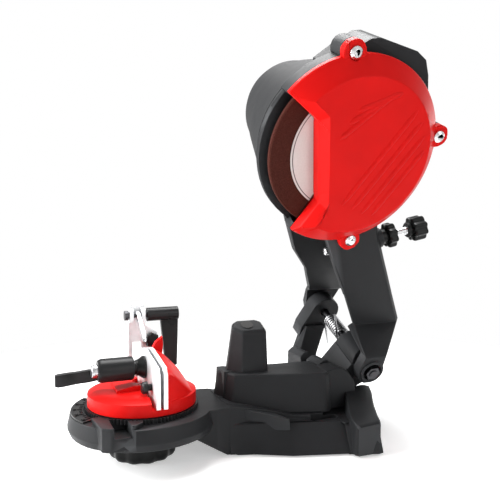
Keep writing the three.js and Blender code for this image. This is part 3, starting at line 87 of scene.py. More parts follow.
def noise(tree, vector, scale, detail, stretch=None):
    if stretch:
        mapping = tree.nodes.new("ShaderNodeMapping")
        mapping.inputs["Scale"].default_value = stretch
        tree.links.new(vector, mapping.inputs["Vector"])
        vector = mapping.outputs["Vector"]
    node = tree.nodes.new("ShaderNodeTexNoise")
    node.inputs["Scale"].default_value = scale
    node.inputs["Detail"].default_value = detail
    tree.links.new(vector, node.inputs["Vector"])
    return node.outputs["Fac"]


# A number that goes from low to high as value goes from start to end.
def ramp(tree, value, low, high, start=0.3, end=0.7):
    node = tree.nodes.new("ShaderNodeMapRange")
    node.inputs["From Min"].default_value = start
    node.inputs["From Max"].default_value = end
    node.inputs["To Min"].default_value = low
    node.inputs["To Max"].default_value = high
    tree.links.new(value, node.inputs["Value"])
    return node.outputs["Result"]


def blendColor(tree, value, first, second, start=0.3, end=0.7):
    node = tree.nodes.new("ShaderNodeValToRGB")
    for stop, place, color in zip(node.color_ramp.elements, (start, end), (first, second)):
        stop.position = place
        stop.color = (*color, 1)
    tree.links.new(value, node.inputs["Fac"])
    return node.outputs["Color"]


# Two numbers, each typed or from another node, made into one.
def combine(tree, operation, first, second):
    node = tree.nodes.new("ShaderNodeMath")
    node.operation = operation
    for socket, value in zip(node.inputs, (first, second)):
        if isinstance(value, float):
            socket.default_value = value
        else:
            tree.links.new(value, socket)
    return node.outputs["Value"]


# How far a place is from the middle.
def reachOf(tree, vector):
    node = tree.nodes.new("ShaderNodeVectorMath")
    node.operation = "LENGTH"
    tree.links.new(vector, node.inputs[0])
    return node.outputs["Value"]


# Stacks bumps, each a value, its strength and its depth.
def bump(tree, shader, heights):
    last = None
    for value, strength, depth in heights:
        node = tree.nodes.new("ShaderNodeBump")
        node.inputs["Strength"].default_value = strength
        node.inputs["Distance"].default_value = depth * mm
        tree.links.new(value, node.inputs["Height"])
        if last:
            tree.links.new(last, node.inputs["Normal"])
        last = node.outputs["Normal"]
    tree.links.new(last, shader.inputs["Normal"])


def shaded(color, factor):
    return tuple(min(1, c * factor) for c in color)


# Moulded plastic: a fine spark-eroded grain on a coarser one, faint flow marks, and a painted highlight that
# makes sharp edges paler in colour
moulding = {"flow": 0.045, "highlit": (0.53, 0.62), "sheer": 0.05, "dull": 0.06, "fine": 0.55, "coarse": 0.3,
            "coarseScale": 0.24, "coarseDepth": 1.5}


def plastic(name, color, roughness, grain, depth, spread, edge=None, sheen=0.5):
    material, tree, shader, place = startMaterial(name, color, roughness)
    shader.inputs["Specular IOR Level"].default_value = sheen
    flow = noise(tree, place, moulding["flow"], 4)
    fine = noise(tree, place, grain, 2)
    coarse = noise(tree, place, grain * moulding["coarseScale"], 2)
    tone = blendColor(tree, flow, shaded(color, 1 - spread), shaded(color, 1 + spread))
    # edge is the colour of a painted highlight, laid on the sharp edges that Pointiness picks out
    if edge:
        shape = tree.nodes.new("ShaderNodeNewGeometry")
        highlightShare = ramp(tree, shape.outputs["Pointiness"], 0, 1, *moulding["highlit"])
        mix = tree.nodes.new("ShaderNodeMix")
        mix.data_type = "RGBA"
        tree.links.new(highlightShare, mix.inputs["Factor"])
        tree.links.new(tone, mix.inputs["A"])
        mix.inputs["B"].default_value = (*edge, 1)
        tone = mix.outputs["Result"]
    tree.links.new(tone, shader.inputs["Base Color"])
    tree.links.new(ramp(tree, flow, roughness - moulding["sheer"], roughness + moulding["dull"]),
                   shader.inputs["Roughness"])
    bump(tree, shader, [(fine, moulding["fine"], depth),
                        (coarse, moulding["coarse"], depth * moulding["coarseDepth"])])
    return material


# Plated or machined metal: drawn lines and slightly duller patches
drawn = {"patches": 0.16, "shades": (0.88, 1.06), "sheer": 0.07, "dull": 0.1, "strength": 0.35}


def metal(name, color, roughness, stretch=(1, 1, 1), scale=1.4, depth=0.012):
    material, tree, shader, place = startMaterial(name, color, roughness, 1.0)
    lines = noise(tree, place, scale, 4, stretch)
    patches = noise(tree, place, drawn["patches"], 3)
    tree.links.new(blendColor(tree, patches, *[shaded(color, factor) for factor in drawn["shades"]]),
                   shader.inputs["Base Color"])
    tree.links.new(ramp(tree, lines, roughness - drawn["sheer"], roughness + drawn["dull"]),
                   shader.inputs["Roughness"])
    bump(tree, shader, [(lines, drawn["strength"], depth)])
    return material


# Resin-bonded abrasive: dark brown resin with paler and darker grains standing out of it
resin = {"body": (0.052, 0.013, 0.009), "dark": (0.046, 0.0105, 0.007), "pale": (0.068, 0.017, 0.011),
         "between": (0.36, 0.68), "roughness": (0.92, 0.7), "sheen": 0.12, "grain": 2.1, "spots": 7.3,
         "dust": 3.4}


def grit(name):
    material, tree, shader, place = startMaterial(name, resin["body"], 0.8)
    shader.inputs["Specular IOR Level"].default_value = resin["sheen"]
    grains = tree.nodes.new("ShaderNodeTexVoronoi")
    grains.inputs["Scale"].default_value = resin["grain"]
    tree.links.new(place, grains.inputs["Vector"])
    spots = noise(tree, grains.outputs["Position"], resin["spots"], 1)
    dust = noise(tree, place, resin["dust"], 3)
    tree.links.new(blendColor(tree, spots, resin["dark"], resin["pale"], *resin["between"]),
                   shader.inputs["Base Color"])
    tree.links.new(ramp(tree, spots, *resin["roughness"]), shader.inputs["Roughness"])
    bump(tree, shader, [(grains.outputs["Distance"], 0.5, 0.05), (dust, 0.4, 0.03)])
    return material


# Plain pressed paper with two thin printed rings. Each stop: its share of the label's radius, and its color.
pressed = {"radius": 40, "body": (0.66, 0.62, 0.60), "stain": (0.93, 0.92, 0.91), "fibre": 1.1,
           "roughness": (0.55, 0.7)}
ink, besideInk = (0.05, 0.045, 0.045), (0.67, 0.63, 0.61)
printStops = [(0, (0.62, 0.58, 0.56)), (0.470, (0.64, 0.60, 0.58)), (0.475, ink), (0.487, ink),
              (0.492, besideInk), (0.955, besideInk), (0.960, ink), (0.969, ink), (0.974, pressed["body"]),
              (1, pressed["body"])]


def paper(name):
    material, tree, shader, place = startMaterial(name, pressed["body"], 0.62)
    flat = tree.nodes.new("ShaderNodeVectorMath")
    flat.operation = "MULTIPLY"
    flat.inputs[1].default_value = (1, 1, 0)
    tree.links.new(place, flat.inputs[0])
    rings = tree.nodes.new("ShaderNodeValToRGB")
    stops = rings.color_ramp.elements
    for at, color in printStops:
        stop = stops[0] if at == 0 else stops[-1] if at == 1 else stops.new(at)
        stop.color = (*color, 1)
    share = ramp(tree, reachOf(tree, flat.outputs["Vector"]), 0, 1, 0, pressed["radius"])
    tree.links.new(share, rings.inputs["Fac"])
    fibre = noise(tree, place, pressed["fibre"], 4)
    stain = tree.nodes.new("ShaderNodeMix")
    stain.data_type = "RGBA"
    stain.blend_type = "MULTIPLY"
    stain.inputs["Factor"].default_value = 1
    tree.links.new(rings.outputs["Color"], stain.inputs["A"])
    tree.links.new(blendColor(tree, fibre, pressed["stain"], (1, 1, 1)), stain.inputs["B"])
    tree.links.new(stain.outputs["Result"], shader.inputs["Base Color"])
    tree.links.new(ramp(tree, fibre, *pressed["roughness"]), shader.inputs["Roughness"])
    bump(tree, shader, [(fibre, 0.3, 0.03)])
    return material


finish = {
    # The last colour given to charcoal and black plastic is their painted edge highlight
    "charcoal_plastic": plastic("moulded_charcoal", (0.0165, 0.0172, 0.0185), 0.47, 2.6, 0.05, 0.1,
                                (0.05, 0.052, 0.055), 0.14),
    "red_plastic": plastic("moulded_red", (0.68, 0.0085, 0.0075), 0.34, 2.2, 0.02, 0.04, sheen=0.07),
    "black_plastic": plastic("moulded_black", (0.0065, 0.007, 0.007), 0.30, 2.8, 0.03, 0.12,
                             (0.022, 0.022, 0.023), 0.16),
    "zinc": metal("bright_zinc", (0.80, 0.81, 0.82), 0.24),
    "steel": metal("machined_steel", (0.56, 0.56, 0.57), 0.30),
    "copper": metal("lacquered_copper", (0.62, 0.30, 0.16), 0.30, depth=0.03),
    "abrasive": grit("brown_grit"),
    "label": paper("plain_paper"),
    "rubber": plastic("foot_rubber", (0.022, 0.021, 0.020), 0.72, 1.8, 0.05, 0.12),
}
rolled = metal("rolled_zinc", (0.84, 0.85, 0.86), 0.52, (3, 0.06, 0.06), 1.2)
dark = metal("blackened_steel", (0.075, 0.075, 0.08), 0.34)
print("materials", len(bpy.data.materials))


# Making pieces
# Links a mesh as a piece that rides with node's body and, if hides names nodes, stands for them.
def finishPiece(name, mesh, node, slotName, matrix=None, material=None, sharp=38, hides=(), weighted=True,
                keepAxes=False):
    mesh.materials.clear()
    mesh.materials.append(material or finish[slotName])
    for face in mesh.polygons:
        face.use_smooth = True
    mesh.set_sharp_from_angle(angle=math.radians(sharp))
    if matrix is not None and not keepAxes:
        mesh.transform(matrix)
    piece = bpy.data.objects.new(name, mesh)
    bpy.context.scene.collection.objects.link(piece)
    if keepAxes:
        piece.matrix_world = matrix
    if weighted:
        soften = piece.modifiers.new("normals", "WEIGHTED_NORMAL")
        soften.keep_sharp = True
    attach(piece, bodyOf[node])
    for hidden in hides:
        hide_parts(hidden)


def meshFrom(name, bm):
    bmesh.ops.recalc_face_normals(bm, faces=bm.faces)
    mesh = bpy.data.meshes.new(name)
    bm.to_mesh(mesh)
    bm.free()
    return mesh


# How near points are joined, and how near a cutting plane they count as on it, in metres. What counts as flat.
tolerance = {"join": 4e-6, "plane": 1e-7, "flat": 0.7}


def joinFlat(bm):
    bmesh.ops.remove_doubles(bm, verts=bm.verts, dist=tolerance["join"])
    bmesh.ops.dissolve_limit(bm, angle_limit=math.radians(tolerance["flat"]), verts=bm.verts, edges=bm.edges)


# A node's own shape as one joined skin, in the axes of matrix.
def cleanCopy(node, matrix=None):
    bm = bmesh.new()
    bm.from_mesh(nodes[node].data)
    for layer in list(bm.loops.layers.uv):
        bm.loops.layers.uv.remove(layer)
    joinFlat(bm)
    if matrix is not None:
        bm.transform(matrix.inverted())
    fresh = bmesh.new()
    spots = {v: fresh.verts.new(v.co) for v in bm.verts}
    for face in bm.faces:
        try:
            fresh.faces.new([spots[v] for v in face.verts])
        except ValueError:
            pass  # the same face twice
    bm.free()
    return fresh


# Whether a point's direction from the axis lies in gap, given as the gap's middle and half its width.
def inGap(point, gap):
    return bool(gap) and abs((math.degrees(math.atan2(point.y, point.x)) - gap[0] + 180) % 360 - 180) < gap[1]


# The room that an edge needs to be rounded, in widths of the rounding
room = {"length": 2.2, "face": 1.6, "neighbour": 1.3}


# Rounds the edges that a mould or a tool leaves rounded, apart from those with no room beside them.
def roundEdges(bm, width, angle=30, steps=2, gap=None):
    chosen = []
    for edge in bm.edges:
        if len(edge.link_faces) != 2 or edge.calc_face_angle(0) < math.radians(angle):
            continue
        if edge.calc_length() < width * room["length"] or all(inGap(v.co, gap) for v in edge.verts):
            continue
        if min(face.calc_area() for face in edge.link_faces) < width * room["face"] * edge.calc_length():
            continue
        near = [e for v in edge.verts for e in v.link_edges]
        if min(e.calc_length() for e in near) < width * room["neighbour"]:
            continue
        chosen.append(edge)
    if chosen:
        bmesh.ops.bevel(bm, geom=chosen, offset=width, segments=steps, profile=0.5, affect="EDGES",
                        clamp_overlap=False)


# Gives a turned shape of few sides more of them, and pushes the new ones out to the true circle.
def trueCircle(bm, sides, turnsInto, gap=None):
    step = 2 * math.pi / sides
    for i in range(sides):
        for j in range(1, turnsInto):
            turn = (i + j / turnsInto) * step
            if turn < math.pi:
                bmesh.ops.bisect_plane(bm, geom=bm.verts[:] + bm.edges[:] + bm.faces[:],
                                       dist=tolerance["plane"], plane_co=(0, 0, 0),
                                       plane_no=(-math.sin(turn), math.cos(turn), 0))
    for v in bm.verts:
        if inGap(v.co, gap):
            continue
        angle = math.atan2(v.co.y, v.co.x) % step - step / 2
        grow = math.cos(angle) / math.cos(step / 2)
        v.co.x, v.co.y = v.co.x * grow, v.co.y * grow


# The node's shape with rounded edges, standing for it.
def refine(node, slotName, width, matrix=None, rounding=None, material=None, sharp=46, change=None, gap=None):
    bm = cleanCopy(node, matrix)
    if change:
        change(bm)
    if rounding:
        trueCircle(bm, **rounding)
    roundEdges(bm, width * mm, gap=gap)
    finishPiece(node + "_skin", meshFrom(node + "_skin", bm), node, slotName, matrix, material, sharp, [node])


# A row of points all round Z at a height. Its radius is worked out for each point from its number and turn.
def ringAt(bm, sides, radiusAt, h):
    row = []
    for i in range(sides):
        turn = 2 * math.pi * i / sides
        r = radiusAt(i, turn)
        row.append(bm.verts.new((r * mm * math.cos(turn), r * mm * math.sin(turn), h * mm)))
    return row


# Faces between two closed rows of as many points.
def joinRows(bm, first, second):
    for i in range(len(first)):
        j = (i + 1) % len(first)
        bm.faces.new((first[i], first[j], second[j], second[i]))


# Faces from row to row and over both ends.
def closeRows(bm, rows):
    for first, second in zip(rows, rows[1:]):
        joinRows(bm, first, second)
    bm.faces.new(list(reversed(rows[0])))
    bm.faces.new(rows[-1])


# Turns a closed outline of radius and height round Z.
def latheMesh(name, profile, sides):
    bm = bmesh.new()
    rings = [ringAt(bm, sides, lambda i, turn: r, h) for r, h in profile]
    for first, second in zip(rings, rings[1:] + rings[:1]):
        joinRows(bm, first, second)
    return meshFrom(name, bm)


# A screw's thread and its ends, in shares of the radius. Rows: how many rows of points a turn of thread has.
thread = {"rows": 6, "sides": 48, "end": 0.2, "deepest": 0.13, "depth": 0.22, "tip": 0.82, "fluteDepth": 0.07,
          "fluteTip": 0.85}


# A threaded bar along Z, with a fluted length at its start.
def rodMesh(name, radius, start, end, pitch, flutes=0):
    bm = bmesh.new()
    rows = int((end - start) / pitch * thread["rows"])
    depth = min(thread["deepest"], thread["depth"] * pitch / radius)
    rings = []
    for k in range(rows + 1):
        h = start + (end - start) * k / rows
        full = max(0, min(1, (h - start) / (radius * thread["end"]), (end - h) / (radius * thread["end"])))

        def radiusAt(i, turn):
            if h - start < flutes:
                flute = 1 - thread["fluteDepth"] * (1 - i % 2)
                return radius * flute * (thread["fluteTip"] + (1 - thread["fluteTip"]) * full)
            wave = abs(((h / pitch - i / thread["sides"]) % 1) * 2 - 1)
            return radius * (1 - depth * wave) * (thread["tip"] + (1 - thread["tip"]) * full)
        rings.append(ringAt(bm, thread["sides"], radiusAt, h))
    closeRows(bm, rings)
    return meshFrom(name, bm)


# The way along a line of points at the point with number k.
def wayAt(points, k):
    return (points[min(k + 1, len(points) - 1)] - points[max(k - 1, 0)]).normalized()


# A rib's foot goes this deep into the face, and its ends narrow to this share
ridge = {"sink": 0.4, "end": 0.35}


# Low rounded ribs on a flat face at a height of the local Z axis, each along a line of (x, y).
def ridgeMesh(name, lines, width, height, level):
    bm = bmesh.new()
    flank = [(0.52, -ridge["sink"]), (0.5, 0.02), (0.38, height * 0.3), (0.2, height * 0.85)]
    section = [(-s, h) for s, h in flank] + [(0, height)] + list(reversed(flank))
    for line in lines:
        points = [Vector((x, y, 0)) for x, y in line]
        rings = []
        for k, point in enumerate(points):
            ahead = wayAt(points, k)
            side = Vector((-ahead.y, ahead.x, 0))
            taper = ridge["end"] if k in (0, len(points) - 1) else 1
            rings.append([bm.verts.new((point + side * s * width * taper
                                        + Vector((0, 0, level + (h if h < 0 else h * taper)))) * mm)
                          for s, h in section])
        closeRows(bm, rings)
    return meshFrom(name, bm)


# A turned knob with lobes round its edge. Each section is a size and a height: a size up to 1 is a share of
# the lobed outline, and a larger one is a plain radius.
def knobMesh(name, radius, dip, lobes, sections):
    bm = bmesh.new()
    rings = []
    for size, h in sections:
        def radiusAt(i, turn):
            return (radius - dip / 2 * (1 - math.cos(lobes * turn))) * size if size <= 1 else size
        rings.append(ringAt(bm, lobes * 12, radiusAt, h))
    closeRows(bm, rings)
    return meshFrom(name, bm)


# A round wire along points.
def wireMesh(name, points, radius, sides=12, tip=0.7):
    bm = bmesh.new()
    rings = []
    for k, point in enumerate(points):
        ahead = wayAt(points, k)
        side = Vector((0, 0, 1)).cross(ahead).normalized()
        up = ahead.cross(side)
        small = tip if k in (0, len(points) - 1) else 1
        ring = []
        for i in range(sides):
            turn = 2 * math.pi * i / sides
            out = side * math.cos(turn) + up * math.sin(turn)
            ring.append(bm.verts.new((point + out * radius * small) * mm))
        rings.append(ring)
    closeRows(bm, rings)
    return meshFrom(name, bm)


# Joins rows of points into one closed form, and rounds its edges by width.
def loftMesh(name, rows, width=0.0, angle=30, steps=2):
    bm = bmesh.new()
    closeRows(bm, [[bm.verts.new(Vector(p) * mm) for p in row] for row in rows])
    bmesh.ops.recalc_face_normals(bm, faces=bm.faces)
    if width:
        roundEdges(bm, width * mm, angle, steps)
    return meshFrom(name, bm)


# A moulded form of the base that stands beside its solid.
def baseForm(name, rows, width, angle, steps, sharp=40):
    finishPiece(name, loftMesh(name, rows, width, angle, steps), "base_casting", "charcoal_plastic",
                sharp=sharp)


# Castings and mouldings
# The base keeps its solid's form, apart from the near corner, the tower and the deck, which are cut back to
# take the finer pieces below. Each cut: its outline seen from the front, and from where to where along y.
baseCuts = {"corner": ([(18, 21.3), (75, 21.3), (75, 70), (18, 70)], -75, -21.2),
            "tower": ([(-60, 52), (-10, 52), (-10, 96), (-60, 96)], -31, 31),
            "end": ([(-60, 33.4), (-46.5, 33.4), (-46.5, 60), (-60, 60)], -35, 35),
            "front": ([(-59, 33.3), (-50, 33.3), (-22, 28.3), (-4, 23.8), (17.5, 23.3), (17.5, 61),
                       (-59, 61)], -37, -3)}


# Takes the tool meshes out of bm, both in the same axes.
def carve(bm, tools):
    mesh = bpy.data.meshes.new("rough")
    bm.to_mesh(mesh)
    body = bpy.data.objects.new("rough", mesh)
    bpy.context.scene.collection.objects.link(body)
    things = [body]
    for tool in tools:
        cutter = bpy.data.objects.new("tool", tool)
        bpy.context.scene.collection.objects.link(cutter)
        cut = body.modifiers.new("cut", "BOOLEAN")
        cut.operation, cut.solver, cut.object = "DIFFERENCE", "EXACT", cutter
        things.append(cutter)
    done = bpy.data.meshes.new_from_object(body.evaluated_get(bpy.context.evaluated_depsgraph_get()))
    bm.clear()
    bm.from_mesh(done)
    joinFlat(bm)
    for thing in things:
        bpy.data.objects.remove(thing)


def cutBase(bm):
    carve(bm, [loftMesh(name, [[(x, y, z) for x, z in outline] for y in (near, far)])
               for name, (outline, near, far) in baseCuts.items()])


# The switch housing's front edge draws in towards its right end, and its edges are well rounded. Moves: where
# each corner of the front face is and where it goes. Rounded: the edges above low, right of left, behind ahead
# and farther from the disc's axis than outside, where they are sharper than sharp.
housing = {"front": 1.0, "near": 0.1, "found": 0.3, "round": 2.4, "low": 41, "left": 3, "ahead": 1.1,
           "outside": 63.5, "sharp": 12, "moves": [((50, 62), (33, 65)), ((57, 58), (41, 60.5)),
                                                   ((66, 47), (46, 51.5)), ((64, 42), (48.5, 44.5))]}


def onHousing(point):
    return (point.y / mm > housing["low"] and math.hypot(point.x, point.y) / mm > housing["outside"]
            and point.x / mm > housing["left"] and point.z / mm < housing["ahead"])


def shapeHousing(bm):
    for v in bm.verts:
        if abs(v.co.z / mm - housing["front"]) > housing["near"]:
            continue
        for (x, y), (toX, toY) in housing["moves"]:
            if math.hypot(v.co.x / mm - x, v.co.y / mm - y) < housing["found"]:
                v.co.x, v.co.y = toX * mm, toY * mm
    rims = [edge for edge in bm.edges if len(edge.link_faces) == 2
            and edge.calc_face_angle(0) > math.radians(housing["sharp"])
            and all(onHousing(v.co) for v in edge.verts)]
    bmesh.ops.bevel(bm, geom=rims, offset=housing["round"] * mm, segments=4, profile=0.5, affect="EDGES",
                    clamp_overlap=True)


# The cover's straight side, as a gap in its circle: the middle of it, and half its width for the circle and
# for the rounded edges
chord = {"middle": 193.5, "circle": 49, "edges": 47.2}
refine("base_casting", "charcoal_plastic", 0.6, change=cutBase, sharp=32)
refine("head_casting", "charcoal_plastic", 0.6, matrix=headMatrix, change=shapeHousing, sharp=35)
refine("motor_shell", "charcoal_plastic", 0.5, matrix=headMatrix, rounding={"sides": 44, "turnsInto": 3})
refine("wheel_cover", "red_plastic", 0.6, matrix=headMatrix, sharp=32, gap=(chord["middle"], chord["edges"]),
       rounding={"sides": 48, "turnsInto": 3, "gap": (chord["middle"], chord["circle"])})
refine("turntable", "red_plastic", 0.5, matrix=viseMatrix)
refine("switch_body", "black_plastic", 0.3, matrix=headMatrix)
refine("rocker", "red_plastic", 0.3, matrix=headMatrix)
print("castings")

# The leg that flares from under the near ear to the base's corner. Each row: y, left, right, top at the left,
# top at the right, bottom. Rim: the top corner's points, across and down. Beyond foot it reaches down to the
# bench.
leg = {"side": 46.4, "inset": 0.3, "lip": 1.0, "rim": [(0, 1.6), (0.5, 0.4), (1.6, 0)], "face": 4.5,
       "slope": 1.1, "sole": 0.4, "draft": 0.2, "foot": -52, "rows": [
           (-13, 47, 66, 33.5, 33.5, 29), (-20, 43.5, 65.5, 34.5, 34.5, 26),
           (-28, 39.5, 62.3, 33.5, 33.0, 22), (-36, 35.6, 58, 30.4, 30.0, 20),
           (-44, 31.8, 53.8, 27.6, 28.2, 18.5), (-50, 29.6, 51.2, 25.8, 26.8, 18),
           (-56, 27.6, 48.6, 24.2, 25.3, 4), (-62.6, 26.8, 46.4, 22.6, 23.7, 1.4),
           (-64.8, 28.4, 45.4, 20.4, 21.4, 1.4)]}


def legRow(y, left, right, high, far, low):
    inner = min(right - leg["inset"], leg["side"])
    edge, drop = inner, low + leg["sole"]
    if y > leg["foot"]:
        edge = right
        drop = max(drop, far - leg["face"] - (right - inner) * leg["slope"])
    return ([(left - leg["lip"], y, low)] + [(left + across, y, high - down) for across, down in leg["rim"]]
            + [(right - down, y, far - across) for across, down in leg["rim"]]
            + [(edge, y, far - leg["face"]), (inner, y, drop), (inner - leg["draft"], y, low)])


baseForm("near_leg", [legRow(*row) for row in leg["rows"]], 0.8, 40, 2, sharp=45)

# The web between the block and the leg, under the ear: its outline seen from the front
web = {"front": -25.5, "back": -6, "outline": [(20, 22), (20, 48.5), (25, 50.6), (33, 51.6), (38, 52),
                                               (43.5, 48.5), (48.6, 41.5), (50, 33), (50, 22)]}
baseForm("ear_web", [[(x, y, z) for x, z in web["outline"]] for y in (web["front"], web["back"])], 1.0, 25, 3)

# The block behind the deck and the tower on it: outlines from above, from low to high. The tower's top leans.
block = [(23, [(-51.5, 12), (-50.5, 5), (-45.5, -13.5), (20, -34.5), (25.5, -32), (27, -24), (27, -2),
               (-45, 13)]),
         (46, [(-48.6, 10), (-47.8, 4), (-42, -10.5), (19.4, -33), (24.6, -30.6), (26, -24), (26, -3),
               (-43, 10.5)]),
         (51.3, [(-47.8, 9.4), (-47, 3.6), (-41, -9.4), (19.2, -32.4), (24.2, -30), (25.4, -24), (25.4, -4),
                 (-42.4, 9.8)])]
baseForm("base_block", [[(x, y, z) for x, y in row] for z, row in block], 1.8, 18, 4)
tower = {"lean": 0.488, "leansAbove": 60, "rows": [
    (50, [(-43.2, 1), (-41.8, 8), (-38, 10), (-16, 10), (-13.4, 8), (-13.4, -6.5), (-15, -8.8),
          (-34.8, -8.8)]),
    (82.4, [(-39.4, -1), (-37.6, 4.6), (-33.6, 6.8), (-19, 6.8), (-14.6, 4.2), (-14.4, -5.4), (-16, -7.6),
            (-33.6, -7.6)]),
    (84.15, [(-37.6, -1), (-36.2, 3.2), (-33, 5.2), (-19.6, 5.2), (-16.2, 3), (-16, -4.4), (-17.4, -6.0),
             (-32.8, -6.0)])]}
baseForm("tower_shell", [[(x, y, z + (tower["lean"] * y if z > tower["leansAbove"] else 0)) for x, y in row]
                         for z, row in tower["rows"]], 0.8, 16, 3)

# The step in the deck beside the block: its corners below and above
deckStep = [[(-44, -20, 18), (-16, -22, 17), (-10.2, -38.0, 15.5), (-42, -23, 15.5)],
            [(-44, -20, 31.4), (-18.5, -23, 25.8), (-11.2, -38.6, 24.2), (-42, -22.6, 29.8)]]
baseForm("deck_step", deckStep, 0.7, 25, 2)
print("base forms")

# Ribs moulded on the cover's face, fanned across it. Each starts at (x, y) and runs at an angle for a share of
# the way to the edge of the flat face.
cover = {"face": 18.4, "reach": 46.5, "width": 3.6, "height": 0.7, "steps": 12, "ribs": [
    (-4, -31, 60.4, 1), (4, -34, 60.4, 1), (12, -37, 60.4, 1), (20, -38, 60.4, 1), (-17, 12, 45, 0.92),
    (-9, 30, 25, 1), (-13, 22, 36, 0.96)]}


def ribLine(x, y, angle, share):
    way = Vector((math.cos(math.radians(angle)), math.sin(math.radians(angle))))
    start = Vector((x, y))
    along = start.dot(way)
    length = (-along + math.sqrt(along * along - start.length_squared + cover["reach"] ** 2)) * share
    return [tuple(start + way * length * k / cover["steps"]) for k in range(cover["steps"] + 1)]


finishPiece("cover_ribs", ridgeMesh("cover_ribs", [ribLine(*rib) for rib in cover["ribs"]], cover["width"],
                                    cover["height"], cover["face"]),
            "wheel_cover", "red_plastic", headMatrix, sharp=70, weighted=False)
print("cover")

# The disc and its label
disc = {"bore": 11.5, "radius": 54.0, "thickness": 3.2, "backEdge": 0.5, "frontEdge": 0.7, "sides": 160}
finishPiece("disc_body", latheMesh("disc_body", [
    (disc["bore"], 0), (disc["radius"] - disc["backEdge"], 0), (disc["radius"], disc["backEdge"]),
    (disc["radius"], disc["thickness"] - disc["frontEdge"]),
    (disc["radius"] - disc["frontEdge"], disc["thickness"]), (disc["bore"], disc["thickness"])], disc["sides"]),
    "grinding_disc", "abrasive", headMatrix, hides=["grinding_disc"])
label = {"inner": 17.8, "outer": 40.0, "back": 3.5, "front": 3.9, "edge": 0.1}
finishPiece("label_ring", latheMesh("label_ring", [
    (label["inner"], label["back"]), (label["outer"], label["back"]),
    (label["outer"], label["front"] - label["edge"]), (label["outer"] - label["edge"], label["front"]),
    (label["inner"], label["front"])], disc["sides"]),
    "disc_label", "label", headMatrix, hides=["disc_label"], keepAxes=True)
print("disc")

# The spring, as a close round wire: one leg, the coil, the other leg. Legs: how far along each its points are.
spring = {"wire": 0.85, "radius": 5.2, "pitch": 2.45, "turns": 9, "start": 12, "from": 200, "steps": 40,
          "legs": (2, 8, 16, 24)}
hinge = Vector(places["hinge"])


# A place on the coil after some turns, or beside it along its tangent.
def springPoint(turns, along=0):
    angle = math.radians(spring["from"]) + 2 * math.pi * turns
    return Vector((hinge.x + spring["radius"] * math.cos(angle) - math.sin(angle) * along,
                   hinge.y + spring["radius"] * math.sin(angle) + math.cos(angle) * along,
                   -spring["start"] - spring["pitch"] * turns))


path = [springPoint(0, -along) for along in reversed(spring["legs"])]
path += [springPoint(k / spring["steps"]) for k in range(spring["turns"] * spring["steps"] + 1)]
path += [springPoint(spring["turns"], along) for along in spring["legs"]]
finishPiece("spring_wire", wireMesh("spring_wire", path, spring["wire"]), "torsion_spring", "steel", headMatrix,
            sharp=60, hides=["torsion_spring"], weighted=False)
hingeRing = [(7.2, 32.5), (9.6, 32.5), (9.6, 34.6), (9.0, 35.1), (7.8, 35.1), (7.2, 34.6)]  # radius and height
finishPiece("hinge_ring", latheMesh("hinge_ring", hingeRing, 64), "head_casting", "charcoal_plastic",
            hingeMatrix)
print("spring")

# Screws: the solid each stands for, radius, start, end and pitch along its own axis
rods = {"depth_thread": {"node": "depth_rod", "matrix": depthMatrix, "size": (3, 0, 72, 1), "flutes": 7},
        "clamp_thread": {"node": "clamp_bolt", "matrix": clampMatrix, "size": (3, -26.5, 17, 2), "flutes": 0},
        "stop_thread": {"node": "stop_screw", "matrix": stopMatrix, "size": (2, 34, 50, 0.7), "flutes": 0}}
for name, rod in rods.items():
    finishPiece(name, rodMesh(name, *rod["size"], rod["flutes"]), rod["node"], "zinc", rod["matrix"], sharp=60,
                hides=[rod["node"]], weighted=False)

# The two lobed knobs of the depth screw: hub, then lobes from start to end. Foot and crown: share of the lobed
# outline, and how far in from that end.
star = {"bore": 3.7, "hub": 5.4, "hubEdge": 0.3, "radius": 9.4, "dip": 1.5, "lobes": 8,
        "foot": [(0.82, 0), (0.93, 0.4), (0.985, 1.1), (1, 2)],
        "crown": [(1, 2), (0.985, 1.1), (0.93, 0.4), (0.86, 0)], "recess": [(5.6, 0), (5.2, 0.8)]}


def starSections(hub, start, end, recess):
    return ([(star["bore"], hub), (star["hub"] - star["hubEdge"], hub), (star["hub"], hub + star["hubEdge"]),
             (star["hub"], start)] + [(share, start + h) for share, h in star["foot"]]
            + [(share, end - h) for share, h in star["crown"]] + [(r, end - h) for r, h in recess])


def finishKnob(name, node, matrix, radius, dip, lobes, sections):
    finishPiece(name, knobMesh(name, radius, dip, lobes, sections), node, "black_plastic", matrix, sharp=40,
                hides=[node], weighted=False)


finishKnob("lock_star", "depth_lock_knob", depthMatrix, star["radius"], star["dip"], star["lobes"],
           starSections(45.4, 49.4, 56.4, [(star["bore"], 0)]))
finishKnob("end_star", "depth_knob", depthMatrix, star["radius"], star["dip"], star["lobes"],
           starSections(67.5, 70.5, 81.5, star["recess"]))
finishKnob("swivel_star", "swivel_knob", viseMatrix, 23, 1.5, 12, [
    (0.84, 0.5), (0.91, 0.7), (0.95, 1.6), (0.99, 3.2), (1, 4.4), (1, 9.2), (0.985, 10.2), (0.95, 11),
    (0.9, 11.5), (15, 11.6), (13.6, 12.4), (13, 13.6), (13, 16.3), (12.6, 16.8), (4.4, 16.8)])
finishKnob("stop_star", "stop_knob", stopMatrix, 5.6, 0.9, 8, [
    (0.8, 32.6), (0.93, 32.8), (1, 33.6), (1, 37.9), (0.93, 38.7), (0.8, 38.9)])
print("knobs")

